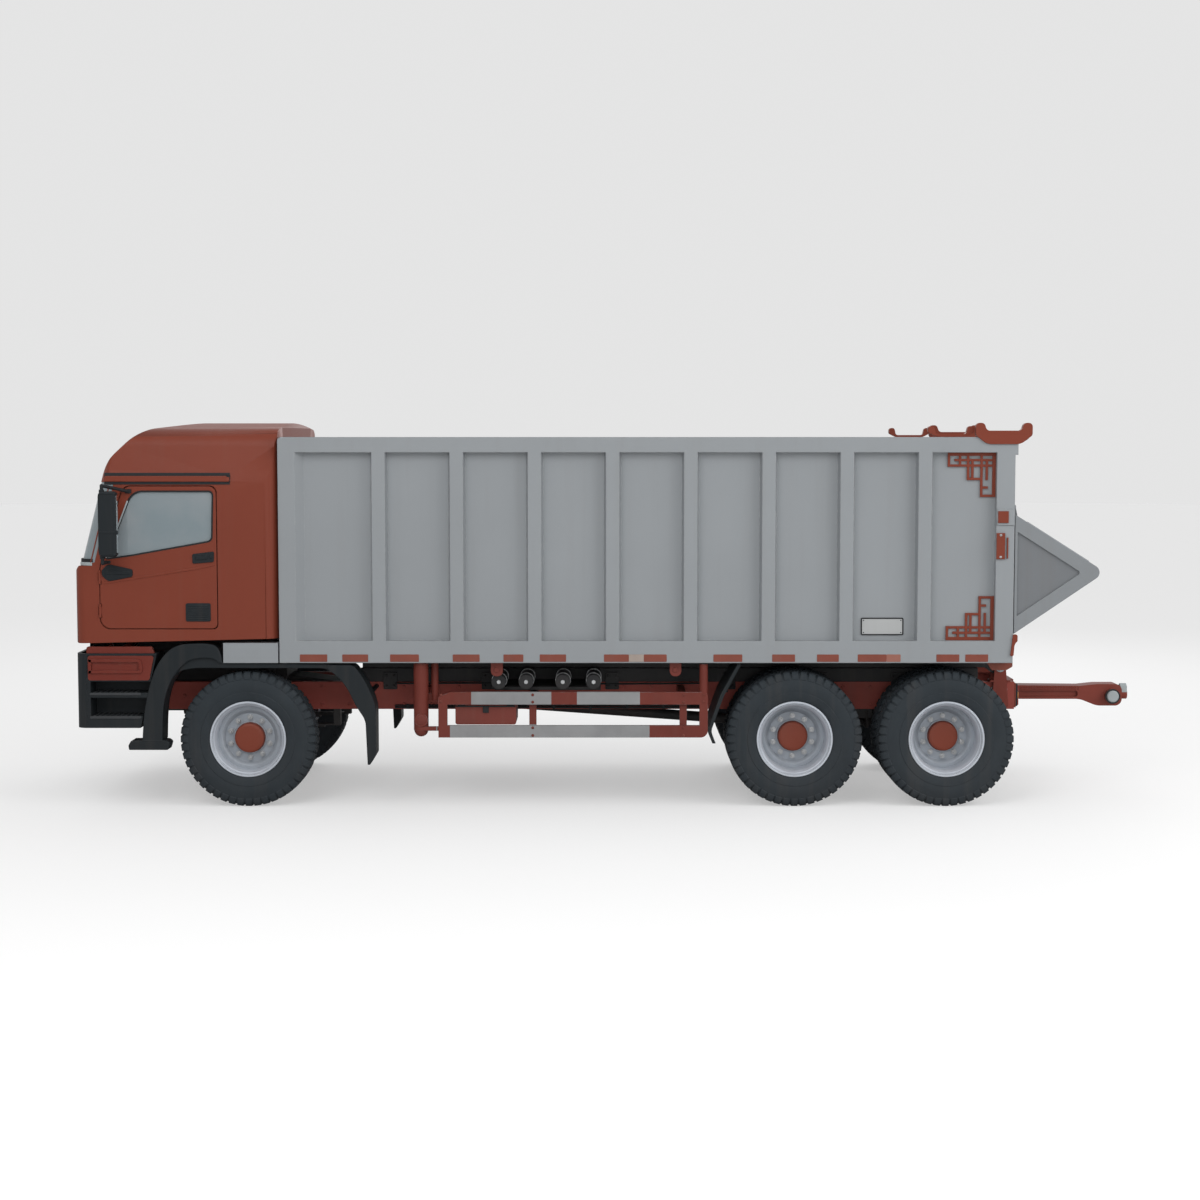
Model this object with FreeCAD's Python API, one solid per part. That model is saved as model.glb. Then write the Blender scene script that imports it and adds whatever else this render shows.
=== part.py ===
import FreeCAD, Part
import math
import os

V = FreeCAD.Vector

# Three-axle tipping lorry with a forward-control cab, millimetres.
# X runs rearwards from the cab's front face, Y to the lorry's right, Z up from the ground.
# Every piece is made at these stations and moved at the end, so that the origin is midway along it.

# Clearances: SEAT between resting pieces, RUN round pins, GAP round doors, SIDE_PLAY beside hinge lugs
SEAT = 0.3
RUN = 0.05
GAP = 8.0
SIDE_PLAY = 6.0

# Tyres
TYRE_R = 570.0
TYRE_W = 290.0
TYRE_BORE_R = 296.0
TYRE_SIDES = 36
BEAD_IN = 22.0
SHOULDER_DROP = 76.0
TREAD_IN = 32.0

# Rims and hubs
RIM_LIP_R = 318.0
RIM_LIP_T = 8.0
RIM_WALL = 12.0
RIM_STEP_R = 272.0
RIM_STEP_IN = 46.0
DISC_T = 16.0
DISH_DEPTH = 30.0
DISH_R = 236.0
DISH_TOP_R = 208.0
HUB_R = 150.0
HUB_LEN = 90.0
CAP_R = 128.5
CAP_H = 62.0
SPINDLE_R = 48.0
SPINDLE_NOSE = 18.0

# Axles
WHEEL_FACE_Y = 1235.0
DUAL_SPACING = 326.0
FRONT_AXLE_X = 1440.0
REAR_AXLE_X = 6028.0
TANDEM = 1274.0
FRONT_DISC_IN = 150.0
REAR_DISC_IN = 250.0
BEAM_HALF_D = 55.0
BEAM_END_HALF_H = 85.0
BEAM_LOW_Z = 420.0
BEAM_HIGH_Z = 540.0
AXLE_TUBE_R = 75.0
CASING_R = 190.0
PINION_REACH = 240.0
PINION_R = 70.0

# Steering
KINGPIN_Y = 885.0
KINGPIN_R = 24.0
EAR_T = 30.0
ARM_IN = 60.0
ARM_X = 255.0
TIE_ROD_R = 16.0
TIE_END_R = 28.0

# Springs
LEAF_T = 14.0
FRONT_LEAF_HALVES = (260.0, 400.0, 540.0, 680.0)
REAR_LEAF_T = 16.0
HANGER_L = 60.0

# Cab
CAB_W = 2500.0
CAB_FLOOR_Z = 1378.0
CAB_FLOOR_RISE = 46.0
CAB_REAR_X = 1706.0
CAB_WALL = 60.0
CAB_DECK_RISE = 112.0
NOSE_H = 651.0
SCREEN_H = 731.0
ROOF_H = 481.0
SCREEN_FOOT_X = 50.0
SCREEN_TOP_X = 238.0
SCREEN_WRAP = 130.0
CAB_BOW = 12.0
CAB_CORNER_R = 100.0
CAB_BACK_R = 100.0
CAB_PIVOT_X = 72.0
CAB_PIVOT_Z = 1332.0
CAB_PIVOT_R = 15.0
CAB_LUG_W = 50.0
CAB_LUG_Y = 390.0
DOOR_FRONT_X = 231.0
DOOR_REAR_X = 1203.0
DOOR_FOOT_RISE = 129.0
DOOR_TOP_DROP = 70.0
GLASS_T = 8.0
GLASS_IN = 12.0
REAR_PANE_SIDE = 690.0
REAR_PANE_IN = (151.0, 200.0)
HINGE_PIN_R = 6.0
HINGE_R = 11.0
HINGE_RISES = (113.0, 393.0)
HINGE_H = 70.0
HINGE_END_H = 22.0
GUTTER_OUT = 12.0
GUTTER_DROP = 30.0
GUTTER_H = 38.0
GUTTER_END_X = 1320.0
GRILLE_SIDE = 470.0
GRILLE_RISE = 92.0
GRILLE_DROP = 129.0
GRILLE_BACK_X = 46.0
GRILLE_BARS = 6
MIRROR_OUT = 150.0
MIRROR_W = 80.0
MIRROR_RISE = 85.0
MIRROR_DROP = 36.0
DASH_IN = 115.0
SEAT_SIDE = 630.0
SEAT_FRONT_X = 780.0
SEAT_L = 560.0
SEAT_W = 520.0
SEAT_RISE = 250.0
SEAT_CUSHION_H = 150.0
SEAT_BACK_H = 830.0
STEERING_R = 225.0
COLUMN_R = 24.0

# Bumper, steps and front mudguards
BUMPER_TOP_Z = 1296.0
BUMPER_DROP = 56.0
BUMPER_DEPTH = 104.0
BUMPER_T = 30.0
LAMP_IN = 130.0
LAMP_W = 320.0
BUMPER_SLOT_IN = 550.0
LAMP_FOOT_Z = 985.0
LAMP_TOP_Z = 1165.0
STEP_W = 320.0
STEP_FOOT_X = 548.0
STEP_TOP_X = 690.0
STEP_ZS = (769.0, 965.0)
STEP_OPEN_H = (156.0, 97.0)
STEP_DEPTHS = (220.0, 200.0)
STEP_PANEL_FOOT_Z = 1070.0
STEP_PANEL_TOP_Z = 1278.0
STEP_PANEL_T = 10.0
STEP_LIP_H = 56.0
GUARD_TOP_Z = 1384.0

# Chassis
RAIL_OUT_Y = 430.0
RAIL_W = 80.0
RAIL_FOOT_Z = 726.0
RAIL_H = 240.0
RAIL_T = 14.0
RAIL_FRONT_X = 120.0
SUB_H = 118.0
SUB_IN = 5.0
SUB_FRONT_X = 2300.0
SUB_REAR_X = 7700.0
CROSS_L = 80.0
ENGINE_FRONT_X = 330.0
ENGINE_L = 1310.0
GEARBOX_L = 460.0
SHAFT_R = 45.0
FLANGE_R = 66.0

# Side gear
GUARD_OUT_Y = 1225.0
GUARD_W = 40.0
GUARD_FRONT_X = 3039.0
GUARD_REAR_X = 5298.0
GUARD_TOP_BAR_Z = 864.0
GUARD_TOP_BAR_H = 105.0
GUARD_LOW_BAR_Z = 586.0
GUARD_LOW_BAR_H = 101.0
GUARD_STAY_W = 60.0
GUARD_POST_AHEAD = 149.0
GUARD_POST_R = 62.0
GUARD_END_W = 70.0
CHEST_FRONT_X = 3179.0
CHEST_L = 511.0
CHEST_OUT_Y = 1180.0
CHEST_W = 380.0
CHEST_FOOT_Z = 690.0
CHEST_H = 172.0
TANK_R = 62.0
TANK_OUT_Y = 1100.0
TANK_W = 630.0
TANK_XS = (3540.0, 3770.0, 4080.0, 4340.0)
TANK_Z = 1040.0
REAR_GUARD_IN_Y = 640.0
REAR_GUARD_FOOT_Z = 536.0
LAMP_PLATE_T = 14.0
TAIL_LAMP_T = 28.0

# Tipping body
BODY_FRONT_X = 1718.0
BODY_REAR_X = 7840.0
BODY_W = 2500.0
BODY_FOOT_Z = 1217.0
BODY_SILL_H = 185.0
BODY_TOP_Z = 3099.0
TOP_RAIL_H = 128.0
BODY_RAIL_T = 140.0
PANEL_OUT = 72.0
PANEL_T = 56.0
RIB_W = 140.0
RIB_FACE_W = 112.0
FIRST_RIB_X = 2552.0
RIB_PITCH = 649.0
RIB_COUNT = 8
POST_FRONT_W = 207.0
POST_FRONT_FACE_W = 140.0
POST_REAR_W = 152.0
FLOOR_T = 20.0
BEARER_W = 70.0
BEARER_COUNT = 12
END_WALL_T = 70.0
END_RAIL_W = 120.0
CORBEL_W = 50.0

# Tipping hinge
TIP_BACK = 50.0
TIP_Z = 1100.0
TIP_PIN_R = 35.0
LUG_R = 60.0
HINGE_PLATE_T = 20.0

# Hoist
HOIST_FOOT_X = 5700.0
HOIST_FOOT_Z = 800.0
HOIST_EYE_X = 3300.0
HOIST_EYE_Z = 1150.0
HOIST_BARREL_R = 92.0
HOIST_ROD_R = 60.0
HOIST_EYE_R = 60.0
HOIST_EYE_HALF = 60.0
HOIST_PIN_R = 35.0
HOIST_CHEEK_T = 30.0
HOIST_CHEEK_OUT_Y = 150.0

# Tailgate
GATE_TOP_Z = 2456.0
GATE_FOOT_Z = 1461.0
GATE_TIP_REACH = 765.0
GATE_TIP_Z = 1976.0
GATE_T = 40.0
GATE_BORDER = 110.0
GATE_RECESS = 16.0
GATE_STRIP = 22.0
GATE_PIN_BACK = 50.0
GATE_PIN_Z = 2500.0
GATE_PIN_R = 18.0
GATE_LUG_W = 50.0
GATE_EAR_T = 16.0
GATE_HINGE_SPREAD = 850.0

# Latches and ornaments
COLLAR_FOOT_Z = 2367.0
COLLAR_H = 135.0
COLLAR_OUT = 8.0
LATCH_OUT = 10.0
FRET_L = 400.0
FRET_H = 370.0
FRET_BAR = 20.0
FRET_T = 16.0
FINIAL_L = 470.0
FINIAL_H = 176.0
FINIAL_SADDLE_H = 112.0
FINIAL_LOW = 59.0
FINIAL_BEYOND = 136.0
FINIAL_W = 60.0
FRONT_FINIAL_L = 382.0
FRONT_FINIAL_H = 90.0
FRONT_FINIAL_SADDLE_H = 24.0
FRONT_FINIAL_BACK = 722.0

# Tow bar
TOW_L = 1057.0
TOW_FOOT_Z = 713.0
TOW_TOP_Z = 906.0
TOW_HALF_W = 90.0
TOW_HEAD_L = 335.0
TOW_PIN_R = 60.0
TOW_PIN_HALF = 150.0
TOW_NUT_R = 45.0
TOW_NUT_L = 60.0
TOW_FLANGE_T = 30.0
TOW_FLANGE_HALF = 230.0

# Worked out from the sizes above
RIM_IN = BEAD_IN - RIM_LIP_T
HALF_W = BODY_W / 2.0
CAB_HALF = CAB_W / 2.0
CAB_DECK_Z = CAB_FLOOR_Z + CAB_DECK_RISE
NOSE_Z = CAB_FLOOR_Z + NOSE_H
SCREEN_TOP_Z = NOSE_Z + SCREEN_H
CAB_TOP_Z = SCREEN_TOP_Z + ROOF_H
DOOR_FOOT_Z = CAB_FLOOR_Z + DOOR_FOOT_RISE
DOOR_TOP_Z = SCREEN_TOP_Z - DOOR_TOP_DROP
REAR_PANE_Z = (NOSE_Z + REAR_PANE_IN[0], SCREEN_TOP_Z - REAR_PANE_IN[1])
HINGE_ZS = tuple(DOOR_FOOT_Z + rise for rise in HINGE_RISES)
GUTTER_FOOT_Z = SCREEN_TOP_Z - GUTTER_DROP
GRILLE_FOOT_Z = CAB_FLOOR_Z + GRILLE_RISE
GRILLE_TOP_Z = NOSE_Z - GRILLE_DROP
MIRROR_IN_Y = CAB_HALF + MIRROR_OUT
MIRROR_OUT_Y = MIRROR_IN_Y + MIRROR_W
MIRROR_FOOT_Z = NOSE_Z + MIRROR_RISE
MIRROR_TOP_Z = DOOR_TOP_Z - MIRROR_DROP
DASH_HALF = CAB_HALF - DASH_IN
GRILLE_W = CAB_W - 2 * GRILLE_SIDE
REAR_PANE_W = CAB_W - 2 * REAR_PANE_SIDE
SEAT_Y = CAB_HALF - SEAT_SIDE
LAMP_OUT_Y = CAB_HALF - LAMP_IN
LAMP_IN_Y = LAMP_OUT_Y - LAMP_W
STEP_IN_Y = CAB_HALF - STEP_W
RAIL_IN_Y = HALF_W - BODY_RAIL_T
GUARD_POST_X = GUARD_FRONT_X - GUARD_POST_AHEAD
RAIL_TOP_Z = RAIL_FOOT_Z + RAIL_H
SUB_TOP_Z = RAIL_TOP_Z + SUB_H
BODY_SILL_Z = BODY_FOOT_Z + BODY_SILL_H
TOP_RAIL_Z = BODY_TOP_Z - TOP_RAIL_H
TIP_X = BODY_REAR_X + TIP_BACK
RAIL_REAR_X = TIP_X + 130.0
TOW_FRONT_X = RAIL_REAR_X + TOW_FLANGE_T
TOW_TIP_X = TOW_FRONT_X + TOW_L
TOW_MID_Z = (TOW_FOOT_Z + TOW_TOP_Z) / 2.0
ORIGIN_X = TOW_TIP_X / 2.0
RIM_BARREL_R = TYRE_BORE_R - SEAT - RIM_WALL
ARM_Y = -KINGPIN_Y + ARM_IN
BEAM_END_LOW_Z = TYRE_R - BEAM_END_HALF_H
BEAM_END_HIGH_Z = TYRE_R + BEAM_END_HALF_H
REAR_AXLE_XS = (REAR_AXLE_X, REAR_AXLE_X + TANDEM)
BUMPER_FOOT_Z = RAIL_FOOT_Z - BUMPER_DROP
GATE_FRONT_X = BODY_REAR_X + GAP
GATE_TIP_X = BODY_REAR_X + GATE_TIP_REACH
GATE_PIN_X = BODY_REAR_X + GATE_PIN_BACK
GATE_HINGE_YS = (-GATE_HINGE_SPREAD, 0.0, GATE_HINGE_SPREAD)
CAB_LUG_YS = (-CAB_LUG_Y - CAB_LUG_W / 2, CAB_LUG_Y - CAB_LUG_W / 2)
SCREEN_LEAN = (SCREEN_TOP_X - SCREEN_FOOT_X) / (SCREEN_TOP_Z - NOSE_Z)
GUARD_IN_Y = GUARD_OUT_Y - GUARD_W


# Shape helpers

def place(plane, u, v, w):
    """Point at (u, v) in a plane, w along its normal."""
    if plane == "xz":
        return V(u, w, v)
    if plane == "yz":
        return V(w, u, v)
    return V(u, v, w)


def rounded_corner(before, corner, after, radius):
    """Start, middle and end of the arc that rounds a corner."""
    ax, ay = before[0] - corner[0], before[1] - corner[1]
    bx, by = after[0] - corner[0], after[1] - corner[1]
    la, lb = math.hypot(ax, ay), math.hypot(bx, by)
    ax, ay, bx, by = ax / la, ay / la, bx / lb, by / lb
    half = 0.5 * math.acos(max(-1.0, min(1.0, ax * bx + ay * by)))
    run = radius / math.tan(half)
    start = (corner[0] + ax * run, corner[1] + ay * run)
    end = (corner[0] + bx * run, corner[1] + by * run)
    mx, my = ax + bx, ay + by
    lm = math.hypot(mx, my)
    reach = radius / math.sin(half) - radius
    mid = (corner[0] + mx / lm * reach, corner[1] + my / lm * reach)
    return start, mid, end


def outline(corners, plane, at=0.0):
    """Closed wire through corners (u, v), rounded where a third value gives a radius."""
    count = len(corners)
    stops = []
    for i, corner in enumerate(corners):
        if len(corner) == 3 and corner[2] > 0:
            before, after = corners[i - 1], corners[(i + 1) % count]
            stops.append(rounded_corner(before, corner, after, corner[2]))
        else:
            stops.append(((corner[0], corner[1]),) * 3)
    edges = []
    for i in range(count):
        start, mid, end = [place(plane, p[0], p[1], at) for p in stops[i]]
        if start.distanceToPoint(end) > 1e-6:
            edges.append(Part.Arc(start, mid, end).toShape())
        nxt = place(plane, *stops[(i + 1) % count][0], at)
        if end.distanceToPoint(nxt) > 1e-6:
            edges.append(Part.LineSegment(end, nxt).toShape())
    return Part.Wire(edges)


def push(wire, plane, lo, hi):
    """Solid from a wire at zero, extruded along the plane's normal from lo to hi."""
    face = Part.Face(wire)
    face.translate(place(plane, 0, 0, lo))
    return face.extrude(place(plane, 0, 0, hi - lo))


def prism(corners, plane, lo, hi):
    return push(outline(corners, plane), plane, lo, hi)


def box(x, y, z):
    return Part.makeBox(x[1] - x[0], y[1] - y[0], z[1] - z[0], V(x[0], y[0], z[0]))


def bar(axis, centre, radius, lo, hi):
    """Round bar along an axis through a centre given by the two other coordinates."""
    if axis == "x":
        return Part.makeCylinder(radius, hi - lo, V(lo, centre[0], centre[1]), V(1, 0, 0))
    if axis == "y":
        return Part.makeCylinder(radius, hi - lo, V(centre[0], lo, centre[1]), V(0, 1, 0))
    return Part.makeCylinder(radius, hi - lo, V(centre[0], centre[1], lo), V(0, 0, 1))


def tube_between(a, b, radius):
    return Part.makeCylinder(radius, a.distanceToPoint(b), a, b - a)


def join(*shapes):
    solid = shapes[0].multiFuse(list(shapes[1:])) if len(shapes) > 1 else shapes[0]
    return solid.removeSplitter()


def group(*shapes):
    return Part.makeCompound(list(shapes))


def other_side(shape):
    return shape.mirror(V(0, 0, 0), V(0, 1, 0))


def both_sides(shape):
    return group(shape, other_side(shape))


def spun(profile, centre_x, centre_z):
    """Solid of revolution about a line along Y; profile corners are (y, radius)."""
    face = Part.Face(outline(profile, "yz"))
    solid = face.revolve(V(0, 0, 0), V(0, 1, 0), 360)
    solid.translate(V(centre_x, 0, centre_z))
    return solid


def faceted(profile, centre_x, centre_z, sides):
    """Ring like spun, of flat sides that touch the profile's radii, with one flat side at the foot."""
    reach = 1.0 / math.cos(math.pi / sides)
    turns = [2.0 * math.pi * (k + 0.5) / sides for k in range(sides)]
    rings = []
    for y, radius in profile:
        rings.append([
            V(centre_x + radius * reach * math.sin(t), y, centre_z - radius * reach * math.cos(t))
            for t in turns
        ])
    faces = []
    for i, ring in enumerate(rings):
        beside = rings[(i + 1) % len(rings)]
        for k in range(sides):
            n = (k + 1) % sides
            faces.append(Part.Face(Part.makePolygon([ring[k], ring[n], beside[n], beside[k], ring[k]])))
    shell = Part.makeShell(faces)
    shell.sewShape()
    return Part.makeSolid(shell)


PIECES = {}


def keep(name, shape):
    PIECES[name] = shape


def keep_pair(name, shape):
    """A left-hand piece and its mirror image."""
    keep(name + "_left", shape)
    keep(name + "_right", other_side(shape))


# Wheels: every profile point is (y, radius), with y measured inwards from the tyre's outer face

def tyre(centre_x, face_y):
    inner = face_y + TYRE_W
    bead_r = RIM_LIP_R + 2
    shoulder_r = TYRE_R - SHOULDER_DROP
    profile = [
        (face_y + BEAD_IN, TYRE_BORE_R), (face_y + BEAD_IN, bead_r), (face_y, shoulder_r),
        (face_y + TREAD_IN, TYRE_R), (inner - TREAD_IN, TYRE_R), (inner, shoulder_r),
        (inner - BEAD_IN, bead_r), (inner - BEAD_IN, TYRE_BORE_R),
    ]
    return faceted(profile, centre_x, TYRE_R, TYRE_SIDES)


def rim_ring(centre_x, face_y):
    """Barrel of one rim, with a lip each side and a step behind the outer lip."""
    out, back = face_y + RIM_IN, face_y + TYRE_W - RIM_IN
    seat = TYRE_BORE_R - SEAT
    lip = RIM_LIP_T - SEAT
    profile = [
        (out, RIM_BARREL_R),
        (out, RIM_LIP_R),
        (out + lip, RIM_LIP_R),
        (out + lip, seat),
        (back - lip, seat),
        (back - lip, RIM_LIP_R),
        (back, RIM_LIP_R),
        (back, RIM_BARREL_R),
        (out + RIM_STEP_IN + RIM_WALL, RIM_BARREL_R),
        (out + RIM_STEP_IN, RIM_STEP_R),
    ]
    return spun(profile, centre_x, TYRE_R)


def wheel_centre(centre_x, disc_y):
    """Dished disc, hub and cap; the disc's outer face is at disc_y."""
    dish_y = disc_y - DISH_DEPTH
    profile = [
        (disc_y - CAP_H, 0),
        (disc_y - CAP_H, CAP_R, 12),
        (disc_y, CAP_R),
        (disc_y, DISH_TOP_R),
        (dish_y, DISH_R),
        (dish_y, RIM_BARREL_R),
        (dish_y + DISC_T, RIM_BARREL_R),
        (dish_y + DISC_T, DISH_R + DISC_T / 2),
        (disc_y + DISC_T, DISH_TOP_R + DISC_T / 2),
        (disc_y + DISC_T, HUB_R),
        (disc_y + HUB_LEN, HUB_R),
        (disc_y + HUB_LEN, SPINDLE_R + RUN),
        (disc_y - SPINDLE_NOSE - SEAT, SPINDLE_R + RUN),
        (disc_y - SPINDLE_NOSE - SEAT, 0),
    ]
    return spun(profile, centre_x, TYRE_R)


def dual_spacer(axle_x, face_y):
    """Ring that ties the inner rim's barrel to the outer one."""
    start = face_y + TYRE_W - RIM_IN
    end = face_y + DUAL_SPACING + RIM_IN
    profile = [
        (start, RIM_BARREL_R), (start, RIM_BARREL_R + RIM_WALL),
        (end, RIM_BARREL_R + RIM_WALL), (end, RIM_BARREL_R),
    ]
    return spun(profile, axle_x, TYRE_R)


def make_front_wheel():
    face_y = -WHEEL_FACE_Y
    rim = join(
        rim_ring(FRONT_AXLE_X, face_y), wheel_centre(FRONT_AXLE_X, face_y + FRONT_DISC_IN)
    )
    keep_pair("front_tyre", tyre(FRONT_AXLE_X, face_y))
    keep_pair("front_rim", rim)


def make_rear_wheels():
    outer_y, inner_y = -WHEEL_FACE_Y, -WHEEL_FACE_Y + DUAL_SPACING
    for name, axle_x in zip(("middle", "rear"), REAR_AXLE_XS):
        rims = join(
            rim_ring(axle_x, outer_y),
            rim_ring(axle_x, inner_y),
            wheel_centre(axle_x, outer_y + REAR_DISC_IN),
            dual_spacer(axle_x, outer_y),
        )
        keep_pair(name + "_tyres", group(tyre(axle_x, outer_y), tyre(axle_x, inner_y)))
        keep_pair(name + "_rims", rims)


# Front axle and steering

def make_front_axle():
    """Dropped beam of I section with a bored boss at each end."""
    low, high = BEAM_END_LOW_Z, BEAM_END_HIGH_Z
    profile = [
        (-KINGPIN_Y, low),
        (-KINGPIN_Y + 150, low, 30),
        (-KINGPIN_Y + 290, BEAM_LOW_Z, 60),
        (KINGPIN_Y - 290, BEAM_LOW_Z, 60),
        (KINGPIN_Y - 150, low, 30),
        (KINGPIN_Y, low),
        (KINGPIN_Y, high),
        (KINGPIN_Y - 60, high, 30),
        (KINGPIN_Y - 260, BEAM_HIGH_Z, 60),
        (-KINGPIN_Y + 260, BEAM_HIGH_Z, 60),
        (-KINGPIN_Y + 60, high, 30),
        (-KINGPIN_Y, high),
    ]
    front_x, back_x = FRONT_AXLE_X - BEAM_HALF_D, FRONT_AXLE_X + BEAM_HALF_D
    beam = prism(profile, "yz", front_x, back_x)
    flange, web_in, half = 24.0, 40.0, KINGPIN_Y - 405
    pockets = [
        box((x0, x0 + web_in), (-half, half), (BEAM_LOW_Z + flange, BEAM_HIGH_Z - flange))
        for x0 in (front_x, back_x - web_in)
    ]
    bosses, bores = [], []
    for y in (-KINGPIN_Y, KINGPIN_Y):
        bosses.append(bar("z", (FRONT_AXLE_X, y), BEAM_HALF_D, low, high))
        bores.append(bar("z", (FRONT_AXLE_X, y), KINGPIN_R + RUN, low - 1, high + 1))
    keep("front_axle", join(beam, *bosses).cut(group(*pockets, *bores)))


def make_knuckle():
    """Forked knuckle round the axle's boss, with its pin, spindle and steering arm."""
    x, half = FRONT_AXLE_X, 50.0
    foot, top = BEAM_END_LOW_Z - 1 - EAR_T, BEAM_END_HIGH_Z + 1 + EAR_T
    plate_y = -KINGPIN_Y - BEAM_HALF_D - 9
    plate_t = 34.0
    ears = []
    for z0 in (foot, top - EAR_T):
        ears.append(prism(
            [(x - half, plate_y - 10), (x + half, plate_y - 10), (x + half, -KINGPIN_Y + half, 45),
             (x - half, -KINGPIN_Y + half, 45)],
            "xy", z0, z0 + EAR_T,
        ))
    plate = box((x - half, x + half), (plate_y - plate_t, plate_y), (foot, top))
    pin = bar("z", (x, -KINGPIN_Y), KINGPIN_R, foot, top)
    disc_y = -WHEEL_FACE_Y + FRONT_DISC_IN
    spindle = bar("y", (x, TYRE_R), SPINDLE_R, disc_y - SPINDLE_NOSE, plate_y - plate_t + 4)
    arm = prism(
        [(x - 20, -KINGPIN_Y - 40), (x + 20, -KINGPIN_Y - 40), (x + ARM_X - 15, ARM_Y - 35, 30),
         (x + ARM_X + 35, ARM_Y - 35, 24), (x + ARM_X + 35, ARM_Y + 35, 24),
         (x + ARM_X - 25, ARM_Y + 35, 30), (x - 20, -KINGPIN_Y + 40, 30)],
        "xy", foot, foot + EAR_T,
    )
    keep_pair("knuckle", join(*ears, plate, pin, spindle, arm))


def make_tie_rod():
    """Lies under the steering arms' ends and slides across with them."""
    top = BEAM_END_LOW_Z - 1 - EAR_T - SEAT
    x = FRONT_AXLE_X + ARM_X
    end_h = 46.0
    ends = [bar("z", (x, y), TIE_END_R, top - end_h, top) for y in (ARM_Y, -ARM_Y)]
    rod = bar("y", (x, top - end_h / 2), TIE_ROD_R, ARM_Y, -ARM_Y)
    keep("tie_rod", join(rod, *ends))


def make_springs():
    leaf_y = (RAIL_OUT_Y - RAIL_W, RAIL_OUT_Y)
    seat_z = BEAM_HIGH_Z + SEAT
    leaves = []
    for i, half in enumerate(FRONT_LEAF_HALVES):
        z = seat_z + LEAF_T * i
        leaves.append(box((FRONT_AXLE_X - half, FRONT_AXLE_X + half), leaf_y, (z, z + LEAF_T)))
    top = seat_z + LEAF_T * len(FRONT_LEAF_HALVES)
    reach = FRONT_LEAF_HALVES[-1]
    hangers = [
        box((x, x + HANGER_L), leaf_y, (top, RAIL_FOOT_Z - SEAT))
        for x in (FRONT_AXLE_X - reach, FRONT_AXLE_X + reach - HANGER_L)
    ]
    front = both_sides(join(*leaves, *hangers))
    mid = REAR_AXLE_X + TANDEM / 2
    axle_top = TYRE_R + AXLE_TUBE_R + SEAT
    leaves = []
    for i, spare in enumerate((60.0, -60.0, -220.0)):
        half = TANDEM / 2 + spare
        z = axle_top + REAR_LEAF_T * i
        leaves.append(box((mid - half, mid + half), leaf_y, (z, z + REAR_LEAF_T)))
    saddle = box((mid - 110, mid + 110), leaf_y, (axle_top + REAR_LEAF_T * 3, RAIL_FOOT_Z - SEAT))
    keep("leaf_springs", group(front, both_sides(join(*leaves, saddle))))


def make_rear_axles():
    """Casing with a pinion nose each way, round tubes and the spindles that carry the twin wheels."""
    disc_y = WHEEL_FACE_Y - REAR_DISC_IN
    tube_half = disc_y - HUB_LEN - 10
    half_w, shoulder_w = 120.0, 70.0
    axles = []
    for x in REAR_AXLE_XS:
        casing = spun(
            [(-half_w, 0), (-half_w, CASING_R - 60), (-shoulder_w, CASING_R), (shoulder_w, CASING_R),
             (half_w, CASING_R - 60), (half_w, 0)],
            x, TYRE_R,
        )
        nose = bar("x", (0, TYRE_R), PINION_R, x - PINION_REACH, x + PINION_REACH)
        tube = bar("y", (x, TYRE_R), AXLE_TUBE_R, -tube_half, tube_half)
        spindle = bar("y", (x, TYRE_R), SPINDLE_R, -disc_y - SPINDLE_NOSE, disc_y + SPINDLE_NOSE)
        axles.append(join(tube, spindle, casing, nose))
    keep("rear_axles", group(*axles))


# Chassis

def make_chassis():
    """Two channel rails with cross members and a closing plate behind."""
    z0, z1 = RAIL_FOOT_Z, RAIL_TOP_Z
    out, inn = -RAIL_OUT_Y, -RAIL_OUT_Y + RAIL_W
    channel = prism(
        [(out, z0), (inn, z0), (inn, z0 + RAIL_T), (out + RAIL_T, z0 + RAIL_T),
         (out + RAIL_T, z1 - RAIL_T), (inn, z1 - RAIL_T), (inn, z1), (out, z1)],
        "yz", RAIL_FRONT_X, RAIL_REAR_X,
    )
    web_y = RAIL_OUT_Y - RAIL_T
    starts = (RAIL_FRONT_X, SUB_FRONT_X - 140, SUB_FRONT_X + 660, REAR_AXLE_X - 208,
              REAR_AXLE_X + TANDEM / 2 - 65)
    cross = [box((x, x + CROSS_L), (-web_y, web_y), (z1 - 74, z1)) for x in starts]
    cross.append(box((RAIL_REAR_X - 16, RAIL_REAR_X), (-web_y, web_y), (z0, z1)))
    keep("chassis_frame", join(channel, other_side(channel), *cross))


def make_sub_frame():
    """Rails under the tipping body, with the cheeks and pin that the hoist stands on."""
    out, inn = -RAIL_OUT_Y + SUB_IN, -RAIL_OUT_Y + RAIL_W - SUB_IN
    foot, top = RAIL_TOP_Z + 10, SUB_TOP_Z - 10
    rail = box((SUB_FRONT_X, SUB_REAR_X), (out, inn), (RAIL_TOP_Z, SUB_TOP_Z))
    starts = (SUB_FRONT_X + 20, SUB_FRONT_X + 720, REAR_AXLE_X - 68,
              REAR_AXLE_X + TANDEM / 2 - 5, SUB_REAR_X - 100)
    cross = [box((x, x + CROSS_L), (inn, -inn), (foot, top)) for x in starts]
    x, z, half = HOIST_FOOT_X, HOIST_FOOT_Z, HOIST_CHEEK_OUT_Y
    pin = bar("y", (x, z), HOIST_PIN_R, -half, half)
    cheeks = [
        prism([(x - 70, z - 60, 40), (x + 70, z - 60, 40), (x + 120, top), (x - 20, top)],
              "xz", y0, y0 + HOIST_CHEEK_T)
        for y0 in (-half, half - HOIST_CHEEK_T)
    ]
    cheek_in = half - HOIST_CHEEK_T
    beams = [
        box((x + 40, x + 120), y_range, (foot, top)) for y_range in ((inn, -cheek_in), (cheek_in, -inn))
    ]
    keep("sub_frame", join(rail, other_side(rail), *cross, pin, *cheeks, *beams))


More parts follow.
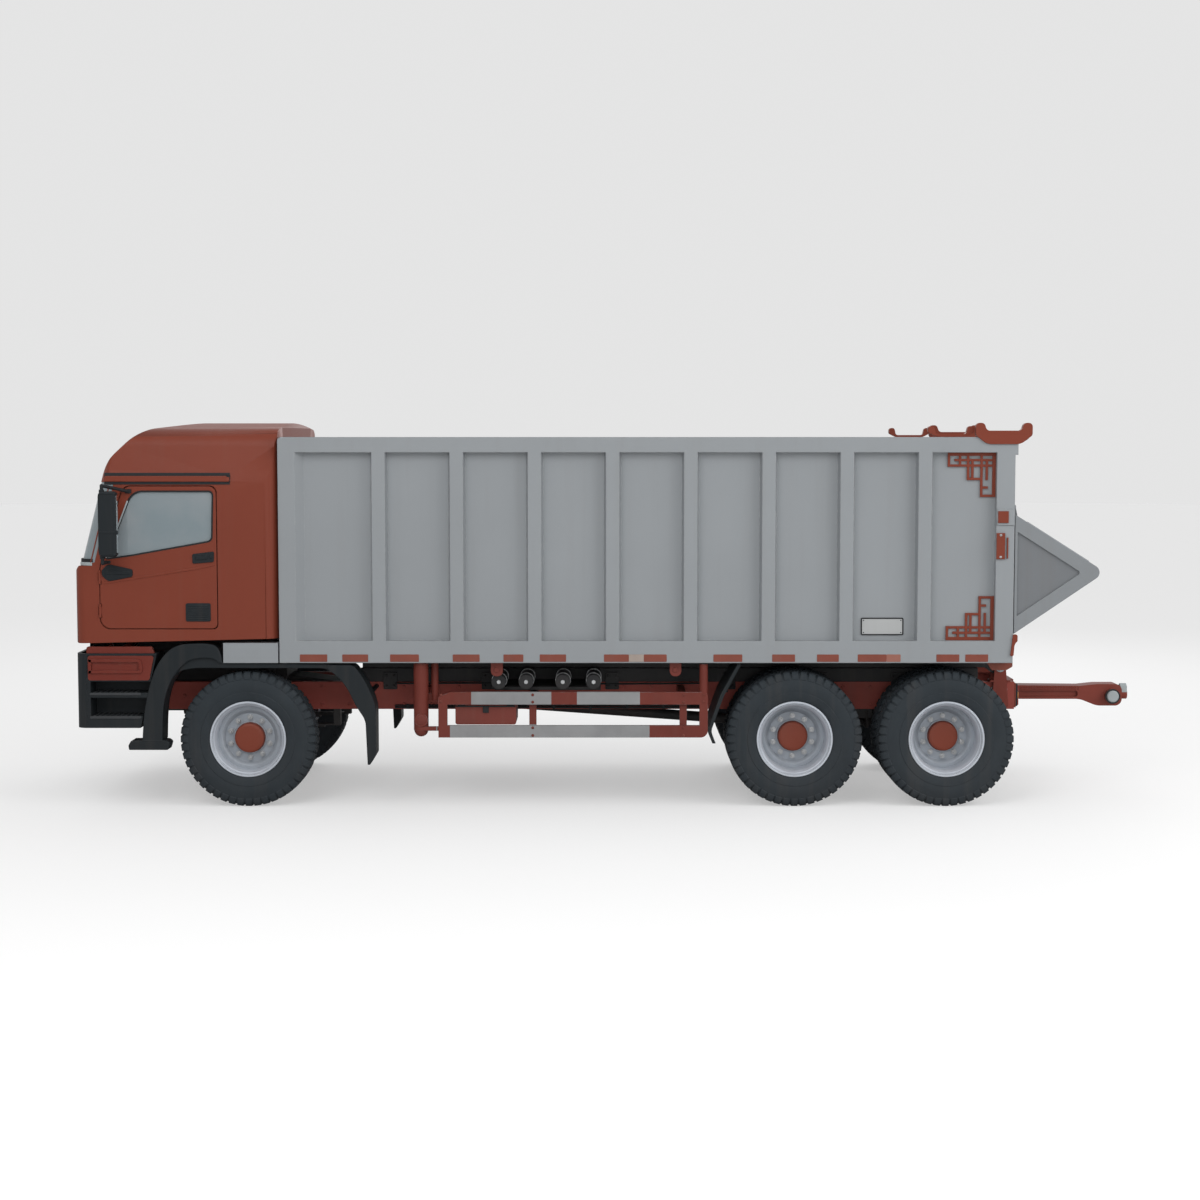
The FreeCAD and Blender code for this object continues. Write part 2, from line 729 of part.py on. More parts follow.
def tip_hinges():
    """Rear tipping hinges: plates and a pin on each rail, the outer plate reaching down its side."""
    hinges = []
    half, ear = 75.0, 45.0
    y_in, y_out = RAIL_OUT_Y - RAIL_W - 30, RAIL_OUT_Y + 30
    base = box((TIP_X - 90, TIP_X + 90), (-y_out, -y_in), (RAIL_TOP_Z, RAIL_TOP_Z + 16))
    top = [(TIP_X + ear, TIP_Z + ear, 40), (TIP_X - ear, TIP_Z + ear, 40)]
    inner = prism([(TIP_X - half, RAIL_TOP_Z + 10), (TIP_X + half, RAIL_TOP_Z + 10)] + top,
                  "xz", -y_in - HINGE_PLATE_T, -y_in)
    outer = prism([(TIP_X - half, RAIL_FOOT_Z + 20, 20), (TIP_X + half, RAIL_FOOT_Z + 20, 20)] + top,
                  "xz", -y_out, -y_out + HINGE_PLATE_T)
    pin = bar("y", (TIP_X, TIP_Z), TIP_PIN_R, -y_out, -y_in)
    hinge = join(base, inner, outer, pin)
    hinges += [hinge, other_side(hinge)]
    return hinges


def cab_hinges():
    """Brackets and pins that the cab tilts on, standing on the front of the rails."""
    hinges = []
    plate_t, back_x = 20.0, RAIL_FRONT_X + 160
    for y0 in CAB_LUG_YS:
        y_in = y0 - SIDE_PLAY - plate_t
        y_out = y0 + CAB_LUG_W + SIDE_PLAY + plate_t
        plates = []
        for y in (y_in, y_out - plate_t):
            plates.append(prism(
                [(RAIL_FRONT_X + 5, RAIL_TOP_Z), (back_x, RAIL_TOP_Z),
                 (CAB_PIVOT_X + 80, CAB_PIVOT_Z - 132), (CAB_PIVOT_X + 24, CAB_PIVOT_Z + 22, 20),
                 (CAB_PIVOT_X - 24, CAB_PIVOT_Z + 22, 20), (CAB_PIVOT_X - 24, CAB_PIVOT_Z - 92, 60)],
                "xz", y, y + plate_t,
            ))
        pin = bar("y", (CAB_PIVOT_X, CAB_PIVOT_Z), CAB_PIVOT_R, y_in, y_out)
        base = box((RAIL_FRONT_X + 5, back_x), (y_in, y_out), (RAIL_TOP_Z, RAIL_TOP_Z + 16))
        hinges.append(join(base, *plates, pin))
    return hinges


def make_hinge_brackets():
    keep("hinge_brackets", group(*cab_hinges(), *tip_hinges()))


def make_drive():
    """Engine as a plain block, gearbox, and the two propeller shafts with their flanges."""
    x0, x1 = ENGINE_FRONT_X, ENGINE_FRONT_X + ENGINE_L
    foot, top = RAIL_FOOT_Z - 26, CAB_FLOOR_Z - 42
    half = RAIL_OUT_Y - RAIL_W - 25
    engine = prism(
        [(x0, foot, 40), (x1 - 100, foot, 40), (x1, foot + 200), (x1, top - 150, 60),
         (x1 - 240, top, 40), (x0, top, 40)],
        "xz", -half, half,
    )
    box_end = x1 + GEARBOX_L
    gearbox = prism(
        [(x1 + SEAT, foot + 20), (box_end, foot + 60), (box_end, foot + 240), (x1 + SEAT, foot + 300)],
        "xz", -190, 190,
    )
    shaft_z = foot + 130
    nose = PINION_REACH + SEAT
    middle_x, rear_x = REAR_AXLE_XS
    runs = [
        (V(box_end + SEAT, 0, shaft_z), V(middle_x - nose, 0, TYRE_R)),
        (V(middle_x + nose, 0, TYRE_R), V(rear_x - nose, 0, TYRE_R)),
    ]
    flange_t = 20.0
    shafts = []
    for start, end in runs:
        inner = V(flange_t - 2, 0, 0)
        shafts.append(join(
            tube_between(start + inner, end - inner, SHAFT_R),
            bar("x", (0, start.z), FLANGE_R, start.x, start.x + flange_t),
            bar("x", (0, end.z), FLANGE_R, end.x - flange_t, end.x),
        ))
    keep("drive_train", group(engine, gearbox, *shafts))


# Cab

def arc(a, b, c, at):
    return Part.Arc(V(a[0], a[1], at), V(b[0], b[1], at), V(c[0], c[1], at)).toShape()


def line(a, b, at):
    return Part.LineSegment(V(a[0], a[1], at), V(b[0], b[1], at)).toShape()


def cab_plan(front_x, corner_r, back_x, half, at=0.0):
    """Plan outline of the cab, as a wire: bowed front and rounded corners."""
    r, q = corner_r, CAB_BACK_R
    d, e = r - r * math.sqrt(0.5), q - q * math.sqrt(0.5)
    bow_x, bow_y, side_x, turn_x = front_x + CAB_BOW, half - r, front_x + CAB_BOW + r, back_x - q
    return Part.Wire([
        arc((bow_x, bow_y), (front_x, 0), (bow_x, -bow_y), at),
        arc((bow_x, -bow_y), (bow_x + d, -half + d), (side_x, -half), at),
        line((side_x, -half), (turn_x, -half), at),
        arc((turn_x, -half), (back_x - e, -half + e), (back_x, -half + q), at),
        line((back_x, -half + q), (back_x, half - q), at),
        arc((back_x, half - q), (back_x - e, half - e), (turn_x, half), at),
        line((turn_x, half), (side_x, half), at),
        arc((side_x, half), (bow_x + d, half - d), (bow_x, bow_y), at),
    ])


def shrunk(wire, amount):
    return wire.makeOffset2D(-amount) if amount else wire


def cab_body(inset, foot, rise=CAB_FLOOR_RISE):
    """The cab's outside, or its inside when inset by the wall."""
    spare = 100.0
    low, high = CAB_FLOOR_Z - spare, CAB_TOP_Z + spare
    half = CAB_HALF
    lower_wire = shrunk(cab_plan(0, CAB_CORNER_R, CAB_REAR_X, half), inset)
    lower = push(lower_wire, "xy", low, NOSE_Z)
    upper_wire = shrunk(
        cab_plan(SCREEN_FOOT_X - CAB_BOW, CAB_CORNER_R + 20, CAB_REAR_X + 4 * spare, half), inset
    )
    upper_face = Part.Face(upper_wire)
    upper_face.translate(V(0, 0, NOSE_Z))
    upper = upper_face.extrude(V((high - NOSE_Z) * SCREEN_LEAN, 0, high - NOSE_Z))
    upper = upper.common(push(lower_wire, "xy", NOSE_Z, high))
    column = lower.fuse(upper)
    side = outline(
        [(-40, low), (CAB_REAR_X + 40, low), (CAB_REAR_X + 40, CAB_TOP_Z - 631),
         (CAB_REAR_X, CAB_TOP_Z, 90), (SCREEN_TOP_X + 762, CAB_TOP_Z - 3, 1500),
         (SCREEN_TOP_X + 322, CAB_TOP_Z - 88, 480), (SCREEN_TOP_X + 62, CAB_TOP_Z - 336, 480),
         (SCREEN_TOP_X, SCREEN_TOP_Z, 300),
         (SCREEN_FOOT_X, NOSE_Z, 12), (0, NOSE_Z - 19, 60), (-40, NOSE_Z - 129)],
        "xz",
    )
    side_solid = push(shrunk(side, inset), "xz", -half - spare, half + spare)
    brow_z, edge_z, edge_in = SCREEN_TOP_Z - 110, CAB_TOP_Z - 81, 60.0
    head = outline(
        [(-half - 10, low), (half + 10, low), (half + 10, brow_z),
         (half - edge_in, edge_z, 170), (0, CAB_TOP_Z + 6, 9000), (-half + edge_in, edge_z, 170),
         (-half - 10, brow_z)],
        "yz",
    )
    head_solid = push(shrunk(head, inset), "yz", -spare, CAB_REAR_X + spare)
    solid = column.common(side_solid).common(head_solid)
    base = prism(
        [(-spare, foot), (CAB_REAR_X + spare, foot + rise),
         (CAB_REAR_X + spare, high + spare), (-spare, high + spare)],
        "xz", -half - spare, half + spare,
    )
    return solid.common(base)


def screen_edge(drop):
    """Side outline of the windscreen, drawn back from the glass line."""
    low, high = NOSE_Z + 26 + drop, SCREEN_TOP_Z - 34 - drop

    def edge_x(z):
        return SCREEN_FOOT_X + SCREEN_WRAP + (z - NOSE_Z) * SCREEN_LEAN - drop

    return [(-60, low), (edge_x(low), low, 12), (edge_x(high), high, 12), (-60, high)]


def door_corners(grow):
    front, rear, foot, top = (
        DOOR_FRONT_X - grow, DOOR_REAR_X + grow, DOOR_FOOT_Z - grow, DOOR_TOP_Z + grow
    )
    return [
        (front, foot, 90), (rear, foot, 40), (rear, top, 60), (front + 205, top, 90),
        (front + 19, NOSE_Z + 51, 200), (front, NOSE_Z - 39, 200),
    ]


def window_corners(shrink):
    front, rear = DOOR_FRONT_X + 41 + shrink, DOOR_REAR_X - 19 - shrink
    foot, top = NOSE_Z + 50 + shrink, DOOR_TOP_Z - 34 - shrink
    return [
        (front, foot, 16), (front + 228, foot + 32, 200), (rear - 12, foot + 152, 50),
        (rear, top, 40), (front + 230, top, 130),
    ]


def through_side(corners):
    """Prism of a side outline through the left wall of the cab."""
    return prism(corners, "xz", -CAB_HALF - 50, -CAB_HALF + CAB_WALL + 60)


def door_hinges():
    """Barrels and pins on the door's front gap: what joins and what cuts the cab and the door."""
    x, y = DOOR_FRONT_X - GAP / 2, -CAB_HALF
    wide = HINGE_R + 4
    cab_add, cab_cut, door_add, door_cut, bores = [], [], [], [], []
    for z0 in HINGE_ZS:
        z1 = z0 + HINGE_H
        foot, top = z0 - HINGE_END_H, z1 + HINGE_END_H
        door_add.append(bar("z", (x, y), HINGE_R, z0 + SEAT, z1 - SEAT))
        bores.append(bar("z", (x, y), HINGE_PIN_R + RUN, foot, top))
        cab_cut.append(bar("z", (x, y), wide, z0 - 1, z1 + 1))
        cab_add.append(bar("z", (x, y), HINGE_PIN_R, foot, top))
        for low in (foot, z1):
            cab_add.append(bar("z", (x, y), HINGE_R, low, low + HINGE_END_H))
            door_cut.append(bar("z", (x, y), wide, low - 4, low + HINGE_END_H + 4))
    return cab_add, cab_cut, door_add, door_cut, bores


def rear_window(shrink):
    half, (z0, z1) = REAR_PANE_W / 2 - shrink, REAR_PANE_Z
    return prism(
        [(-half, z0 + shrink, 60), (half, z0 + shrink, 60), (half, z1 - shrink, 60),
         (-half, z1 - shrink, 60)],
        "yz", CAB_REAR_X - CAB_WALL - 20, CAB_REAR_X + 20,
    )


def gutter_rail():
    """Raised bar along the side above the door."""
    top = GUTTER_FOOT_Z + GUTTER_H
    return prism(
        [(DOOR_FRONT_X + 52, GUTTER_FOOT_Z), (GUTTER_END_X, GUTTER_FOOT_Z, 8), (GUTTER_END_X, top, 8),
         (DOOR_FRONT_X + 69, top, 8)],
        "xz", -CAB_HALF - GUTTER_OUT, -CAB_HALF + 20,
    )


def cab_lugs():
    """Lugs under the cab's front that turn on the pins of the hinge brackets."""
    x, z = CAB_PIVOT_X, CAB_PIVOT_Z
    lugs = []
    for y0 in CAB_LUG_YS:
        lug = prism(
            [(x - 28, z - 28, 27), (x + 28, z - 28, 27), (x + 50, CAB_FLOOR_Z + 20),
             (x - 28, CAB_FLOOR_Z + 20)],
            "xz", y0, y0 + CAB_LUG_W,
        )
        lugs.append(lug.cut(bar("y", (x, z), CAB_PIVOT_R + RUN, y0 - 1, y0 + CAB_LUG_W + 1)))
    return lugs


def make_cab():
    """Hollow shell with its glass, and the two doors cut from the same shell."""
    shell = cab_body(0, CAB_FLOOR_Z).cut(cab_body(CAB_WALL, CAB_DECK_Z, 0))
    wide = CAB_HALF + 50
    screen_hole = prism(screen_edge(0), "xz", -wide, wide)
    grille_hole = box((-40, GRILLE_BACK_X), (-GRILLE_W / 2, GRILLE_W / 2),
                      (GRILLE_FOOT_Z, GRILLE_TOP_Z))
    body = shell.cut(group(screen_hole, grille_hole))
    body = body.cut(both_sides(through_side(door_corners(GAP)))).cut(rear_window(0))
    cab_add, cab_cut, door_add, door_cut, bores = door_hinges()
    body = body.cut(both_sides(group(*cab_cut)))
    left = cab_add + [gutter_rail()]
    body = join(body, *cab_lugs(), *left, *[other_side(piece) for piece in left])
    keep("cab_shell", body)

    band = cab_body(4, CAB_FLOOR_Z).cut(cab_body(4 + GLASS_T, CAB_FLOOR_Z))
    screen = band.common(prism(screen_edge(SEAT), "xz", -wide, wide))
    pane_x = CAB_REAR_X - CAB_WALL / 2
    rear_pane = rear_window(SEAT).common(
        box((pane_x, pane_x + GLASS_T), (-CAB_HALF, CAB_HALF), (CAB_FLOOR_Z, CAB_TOP_Z)))
    keep("cab_glass", group(screen, rear_pane))

    door = shell.common(through_side(door_corners(0))).cut(through_side(window_corners(0)))
    door = join(door.cut(group(*door_cut)), *door_add).cut(group(*bores))
    keep_pair("door", door)
    glass_y = -CAB_HALF + GLASS_IN
    keep_pair("door_glass", prism(window_corners(SEAT), "xz", glass_y, glass_y + GLASS_T))


def make_grille():
    """Plate with wedge-shaped bars across the cab's nose."""
    z0, z1 = GRILLE_FOOT_Z + SEAT, GRILLE_TOP_Z - SEAT
    half = GRILLE_W / 2 - SEAT
    x1 = GRILLE_BACK_X - SEAT
    plate_x = x1 - 8
    pitch = (z1 - z0) / GRILLE_BARS
    bars = []
    for i in range(GRILLE_BARS):
        z = z0 + pitch * (i + 0.5)
        bars.append(prism(
            [(plate_x, z - pitch * 0.37), (plate_x, z + pitch * 0.37),
             (plate_x - 16, z + pitch * 0.25, 5), (plate_x - 16, z - pitch * 0.2, 5)],
            "xz", -half, half,
        ))
    keep("grille", join(box((plate_x, x1), (-half, half), (z0, z1)), *bars))


def make_door_fittings():
    """Grab plate, handle and lower vent on the door's face, and the mirror on its two arms."""
    y1 = -CAB_HALF - SEAT
    front, rear = DOOR_FRONT_X + 16, DOOR_REAR_X - 20
    z = NOSE_Z - 79
    grab = prism(
        [(front, z, 12), (front + 53, z - 50, 30), (front + 257, z - 10, 16),
         (front + 257, z + 50, 16), (front + 53, z + 95, 30), (front, z + 45, 12)],
        "xz", y1 - 10, y1,
    )
    z = NOSE_Z + 16
    handle = prism(
        [(rear - 182, z, 25), (rear, z, 25), (rear, z + 105, 25), (rear - 182, z + 105, 25)],
        "xz", y1 - 14, y1,
    )
    x, z = DOOR_REAR_X - 54, DOOR_FOOT_Z + 58
    vent = prism(
        [(x - 208, z, 20), (x, z, 20), (x, z + 153, 20), (x - 208, z + 153, 20)], "xz", y1 - 8, y1
    )
    keep_pair("door_fittings", group(grab, handle, vent))

    head_x, head_w = DOOR_FRONT_X + 42, 151.0
    head = prism(
        [(head_x, MIRROR_FOOT_Z, 40), (head_x + head_w, MIRROR_FOOT_Z, 40),
         (head_x + head_w, MIRROR_TOP_Z, 40), (head_x, MIRROR_TOP_Z, 40)],
        "xz", -MIRROR_OUT_Y, -MIRROR_IN_Y,
    )
    head_y = -MIRROR_IN_Y - 40
    post_x = head_x + 27
    arm_y = y1 - 11
    upper = [
        bar("z", (post_x, head_y), 14, MIRROR_TOP_Z - 14, MIRROR_TOP_Z + 46),
        tube_between(V(post_x, head_y, MIRROR_TOP_Z + 36), V(post_x + 178, arm_y, MIRROR_TOP_Z - 4), 13),
        box((post_x + 152, post_x + 204), (y1 - 12, y1), (MIRROR_TOP_Z - 22, MIRROR_TOP_Z + 14)),
    ]
    lower = [
        bar("z", (post_x, head_y), 14, MIRROR_FOOT_Z - 54, MIRROR_FOOT_Z + 16),
        tube_between(V(post_x, head_y, MIRROR_FOOT_Z - 40), V(post_x - 8, arm_y, MIRROR_FOOT_Z - 53), 11),
        box((post_x - 38, post_x + 22), (y1 - 12, y1), (MIRROR_FOOT_Z - 65, MIRROR_FOOT_Z - 41)),
    ]
    keep_pair("mirror", join(head, *upper, *lower))


def seat(y):
    """Seat on its pedestal, facing forwards."""
    x0, x1, half = SEAT_FRONT_X, SEAT_FRONT_X + SEAT_L, SEAT_W / 2
    foot = CAB_DECK_Z
    low, top = foot + SEAT_RISE, foot + SEAT_RISE + SEAT_CUSHION_H
    head = low + SEAT_BACK_H
    return join(
        box((x0 + 100, x1), (y - half + 60, y + half - 60), (foot, low)),
        prism([(x0, low, 40), (x1, low), (x1, top, 30), (x0, top, 60)], "xz", y - half, y + half),
        prism([(x1 - 40, top - 20), (x1 + 100, top - 20, 30), (x1 + 220, head, 50), (x1 + 90, head, 50)],
              "xz", y - half + 10, y + half - 10),
    )


def steering_wheel(grow):
    """Wheel and column, tilted towards the driver; grow widens the column for its socket."""
    rim_r, sides = 17.0, 8
    section = []
    for i in range(sides):
        turn = 2.0 * math.pi * (i + 0.5) / sides
        section.append((STEERING_R + rim_r * math.cos(turn), rim_r * math.sin(turn)))
    ring = Part.Face(outline(section, "xz")).revolve(V(0, 0, 0), V(0, 0, 1), 360)
    hub = Part.makeCylinder(60, 24, V(0, 0, -12))
    reach = STEERING_R - 10
    spokes = [box((-reach, reach), (-14, 14), (-8, 8)), box((-14, 14), (-reach, 0), (-8, 8))]
    column_l = 240.0 + grow
    column = Part.makeCylinder(COLUMN_R + grow, column_l, V(0, 0, -column_l))
    wheel = join(ring, hub, *spokes, column)
    wheel.rotate(V(0, 0, 0), V(0, 1, 0), 55)
    wheel.translate(V(640, -SEAT_Y, CAB_DECK_Z + 590))
    return wheel


def make_cab_inside():
    foot = CAB_DECK_Z
    dash = prism(
        [(150, foot + 230), (430, foot + 230, 30), (520, foot + 410, 60), (430, foot + 520, 60),
         (190, foot + 550, 20), (150, foot + 510)],
        "xz", -DASH_HALF, DASH_HALF,
    )
    console = box((150, 400), (-200, 200), (foot, foot + 230))
    room = cab_body(CAB_WALL + SEAT, foot + SEAT, 0)
    keep("dashboard", join(dash, console).common(room).cut(steering_wheel(SEAT)))
    keep("seats", group(seat(-SEAT_Y), seat(SEAT_Y)))
    keep("steering_wheel", steering_wheel(0))


# Bumper, steps and front mudguards

def lamp_corners(shrink):
    out, inn = -LAMP_OUT_Y + shrink, -LAMP_IN_Y - shrink
    foot, top = LAMP_FOOT_Z + shrink, LAMP_TOP_Z - shrink
    return [(out, foot, 40), (inn, foot, 40), (inn, top, 40), (out, top, 40)]


def make_front_end():
    """Bumper shell that follows the cab's plan, with the headlamps let into it."""
    outer = cab_plan(0, BUMPER_DEPTH - CAB_BOW, 700, CAB_HALF)
    solid = push(outer, "xy", BUMPER_FOOT_Z, BUMPER_TOP_Z)
    core = push(shrunk(outer, BUMPER_T), "xy", BUMPER_FOOT_Z - 1, BUMPER_TOP_Z + 1)
    hull = solid.cut(core).common(
        box((-10, BUMPER_DEPTH), (-CAB_HALF - 1, CAB_HALF + 1), (BUMPER_FOOT_Z, BUMPER_TOP_Z)))
    lamp_hole = prism(lamp_corners(0), "yz", -10, BUMPER_DEPTH + 10)
    slot_half, slot_foot, slot_top = CAB_HALF - BUMPER_SLOT_IN, BUMPER_FOOT_Z + 110, BUMPER_FOOT_Z + 230
    slot = prism([(-slot_half, slot_foot, 30), (slot_half, slot_foot, 30), (slot_half, slot_top, 30),
                  (-slot_half, slot_top, 30)], "yz", -10, 60)
    hull = hull.cut(group(both_sides(lamp_hole), slot))
    stay = box((BUMPER_T - 10, RAIL_FRONT_X - SEAT), (-RAIL_OUT_Y, -RAIL_OUT_Y + RAIL_W),
               (RAIL_TOP_Z - 46, RAIL_TOP_Z - 16))
    keep("bumper", join(hull, stay, other_side(stay)))
    lamp = prism(lamp_corners(SEAT), "yz", 0, BUMPER_DEPTH)
    lamp = lamp.common(push(shrunk(outer, 6), "xy", BUMPER_FOOT_Z, BUMPER_TOP_Z))
    lamp = lamp.cut(push(shrunk(outer, BUMPER_T + 30), "xy", BUMPER_FOOT_Z, BUMPER_TOP_Z))
    keep("headlamps", both_sides(lamp))


def make_steps():
    """Side steps between the bumper and the front mudguard, the red panel above them and its lip."""
    x0 = BUMPER_DEPTH + SEAT
    y0, y1 = -CAB_HALF, -STEP_IN_Y
    rear_x = STEP_TOP_X + 110
    block = prism([(x0, BUMPER_FOOT_Z), (STEP_FOOT_X, BUMPER_FOOT_Z), (STEP_TOP_X, BUMPER_TOP_Z),
                   (x0, BUMPER_TOP_Z)], "xz", y0, y1)
    wells = []
    for z, height, depth in zip(STEP_ZS, STEP_OPEN_H, STEP_DEPTHS):
        wells.append(box((x0 + 30, rear_x), (y0 - 1, y0 + depth), (z, z + height)))
    bed = box((x0 + 10, rear_x), (y0 - 1, y0 + STEP_PANEL_T), (STEP_PANEL_FOOT_Z, STEP_PANEL_TOP_Z))
    keep("side_steps", both_sides(block.cut(group(*wells, bed))))
    left, foot, top = x0 + 10 + SEAT, STEP_PANEL_FOOT_Z + SEAT, STEP_PANEL_TOP_Z - SEAT
    panel = prism([(left, foot, 20), (STEP_TOP_X - 64, foot, 20), (STEP_TOP_X - 22, top, 20),
                   (left, top, 20)], "xz", y0, y0 + STEP_PANEL_T - SEAT)
    mid = (foot + top) / 2
    groove = prism([(left + 20, mid - 46, 14), (STEP_TOP_X - 150, mid - 46, 14),
                    (STEP_TOP_X - 150, mid + 46, 14), (left + 20, mid + 46, 14)],
                   "xz", y0 - 1, y0 + 4)
    land = prism([(left + 34, mid - 32, 10), (STEP_TOP_X - 164, mid - 32, 10),
                  (STEP_TOP_X - 164, mid + 32, 10), (left + 34, mid + 32, 10)],
                 "xz", y0 - 2, y0 + 5)
    lip_foot = BUMPER_TOP_Z + SEAT
    lip = prism([(x0, lip_foot), (STEP_TOP_X - 20, lip_foot), (STEP_TOP_X - 44, lip_foot + STEP_LIP_H),
                 (x0, lip_foot + STEP_LIP_H, 12)], "xz", y0 + 10, y0 + 50)
    keep("step_panels", both_sides(group(panel.cut(groove.cut(land)), lip)))


def make_front_mudguards():
    """Arch over the front wheel with a leg down to a foot plate before it and a deep tail behind."""
    y0, y1 = -CAB_HALF, -STEP_IN_Y
    axle, foot_x = FRONT_AXLE_X, STEP_FOOT_X + 4
    top = GUARD_TOP_Z
    reach = TYRE_R + 439.0
    guard = prism(
        [(foot_x, 490, 12), (foot_x + 182, 490, 12), (axle - 650, top - 430, 100),
         (axle - 568, top - 224, 160), (axle - 350, top - 202, 40), (axle + 664, top - 202, 60),
         (axle + 801, top - 350, 200), (axle + reach - 57, top - 605, 30), (axle + reach, top - 650, 20),
         (axle + reach, 358, 4), (axle + reach + 68, 358, 4), (axle + reach + 68, top - 562, 80),
         (axle + 1011, top - 369, 200), (axle + 898, top - 181, 60), (axle - 195, top - 181, 4),
         (axle - 203, top - 44, 40), (axle - 426, top, 160), (STEP_TOP_X + 14, top - 104, 200)],
        "xz", y0, y1,
    )
    foot = prism([(foot_x - 115, 480, 20), (foot_x + 203, 480, 20), (foot_x + 203, 560, 20),
                  (foot_x - 115, 560, 20)], "xz", y0, y1)
    stay = bar("y", (axle + reach - 9, RAIL_TOP_Z - 36), 20, y1 - 20, -RAIL_OUT_Y - SEAT)
    keep("front_mudguards", both_sides(join(guard, foot, stay)))


def make_cab_sills():
    """Pale sill behind the wheel, on an outrigger from the rail."""
    y0 = -CAB_HALF
    back_y = y0 + 140
    x = FRONT_AXLE_X + 60
    sill = box((FRONT_AXLE_X - 192, CAB_REAR_X), (y0, back_y), (BODY_FOOT_Z, GUARD_TOP_Z))
    outrigger = box((x, x + 60), (back_y, -RAIL_OUT_Y - SEAT), (BODY_FOOT_Z + 8, BODY_FOOT_Z + 68))
    leg = box((x, x + 60), (-RAIL_OUT_Y - 60, -RAIL_OUT_Y - SEAT), (RAIL_FOOT_Z + 60, BODY_FOOT_Z + 68))
    keep("cab_sills", both_sides(join(sill, outrigger, leg)))


# Pieces along the chassis

def make_side_guards():
    """Framed guard on brackets from the rail, with the round posts ahead of it and at its end."""
    y0, y1 = -GUARD_OUT_Y, -GUARD_IN_Y
    x0, x1 = GUARD_FRONT_X, GUARD_REAR_X
    low_z0, top_z0 = GUARD_LOW_BAR_Z, GUARD_TOP_BAR_Z
    low_z1, top_z1 = low_z0 + GUARD_LOW_BAR_H, top_z0 + GUARD_TOP_BAR_H
    seat_y = -RAIL_OUT_Y - SEAT
    stay_z = (top_z0 + 16, top_z0 + 16 + GUARD_STAY_W)
    post_top = BODY_FOOT_Z - 13
    nose = top_z1 - 42
    top = prism([(x0, top_z0), (x1, top_z0), (x1, top_z1, 40), (x0 + 101, top_z1), (x0, nose)],
                "xz", y0, y1)
    low = prism([(x0, low_z0), (x1, low_z0, 60), (x1, low_z1), (x0, low_z1)], "xz", y0, y1)
    plate = prism([(x0, low_z0), (x0 + 75, low_z0), (x0 + 75, top_z1 - 9), (x0, nose)], "xz", y0, y1)
    end_x = x1 - GUARD_END_W
    end = box((end_x, x1), (y0, y1), (low_z1 - 10, top_z0 + 10))
    end_post = bar("z", (end_x + GUARD_END_W / 2, y1 - 6), GUARD_END_W / 2, top_z0 + 10, post_top)
    struts = []
    for x in (x0 + 761, x1 - 235):
        struts.append(box((x, x + GUARD_STAY_W), (y1, seat_y), stay_z))
        struts.append(box((x, x + GUARD_STAY_W), (y1, y1 + 40), (low_z0 + 14, top_z1 - 9)))
    post_x, post_y = GUARD_POST_X, y0 + 75
    post = bar("z", (post_x, post_y), GUARD_POST_R, low_z0 + 55, post_top)
    boss = bar("y", (post_x + 5, low_z1 + 44), GUARD_POST_R - 8, post_y - GUARD_POST_R - 6, post_y)
    link = box((post_x, x0 + 20), (y0 + 15, y1), (low_z0 + 55, low_z1 - 10))
    arm = box((post_x - 20, post_x + 20), (post_y, seat_y), stay_z)
    inner_y = post_y + 90
    inner_post = bar("z", (post_x + 108, inner_y), 32, top_z0 + 16, post_top)
    inner_arm = box((post_x, post_x + 130), (inner_y - 20, inner_y + 20), stay_z)
    keep("side_guards", both_sides(join(
        top, low, plate, end, end_post, *struts, post, boss, link, arm, inner_post, inner_arm)))


def make_tool_boxes():
    x0, x1 = CHEST_FRONT_X, CHEST_FRONT_X + CHEST_L
    z0, z1 = CHEST_FOOT_Z, CHEST_FOOT_Z + CHEST_H
    y0, y1 = -CHEST_OUT_Y, -CHEST_OUT_Y + CHEST_W
    mid = (x0 + x1) / 2
    chest = prism([(x0, z0, 20), (x1, z0, 20), (x1, z1, 20), (x0, z1, 20)], "xz", y0, y1)
    stay = box((mid - 20, mid + 20), (y1, -RAIL_OUT_Y - SEAT), (z0 + 70, z0 + 150))
    keep("tool_boxes", both_sides(join(chest, stay)))


def make_air_tanks():
    """Row of small round tanks across a rack, their ends showing at the side."""
    y0, y1 = -TANK_OUT_Y, -TANK_OUT_Y + TANK_W
    tanks = [bar("y", (x, TANK_Z), TANK_R, y0, y1) for x in TANK_XS]
    rack = box((TANK_XS[0] - 40, TANK_XS[-1] + 60), (y0 + 100, -RAIL_OUT_Y - SEAT),
               (TANK_Z - TANK_R - 18, TANK_Z - TANK_R + 10))
    keep("air_tanks", both_sides(join(*tanks, rack)))


def make_rear_mudguards():
    """Curved guard before the tandem."""
    x = REAR_AXLE_X
    foot, top = REAR_GUARD_FOOT_Z, BODY_FOOT_Z - 14
    guard = prism(
        [(x - 482, top, 4), (x - 625, foot + 412, 300), (x - 734, foot + 102, 100),
         (x - 691, foot, 4), (x - 663, foot, 4), (x - 703, foot + 104, 90),
         (x - 596, foot + 400, 300), (x - 452, top, 4)],
        "xz", -GUARD_OUT_Y, -REAR_GUARD_IN_Y,
    )
    stay = box((x - 588, x - 528), (-REAR_GUARD_IN_Y - 20, -RAIL_OUT_Y - SEAT),
               (foot + 364, foot + 424))
    keep("rear_mudguards", both_sides(join(guard, stay)))


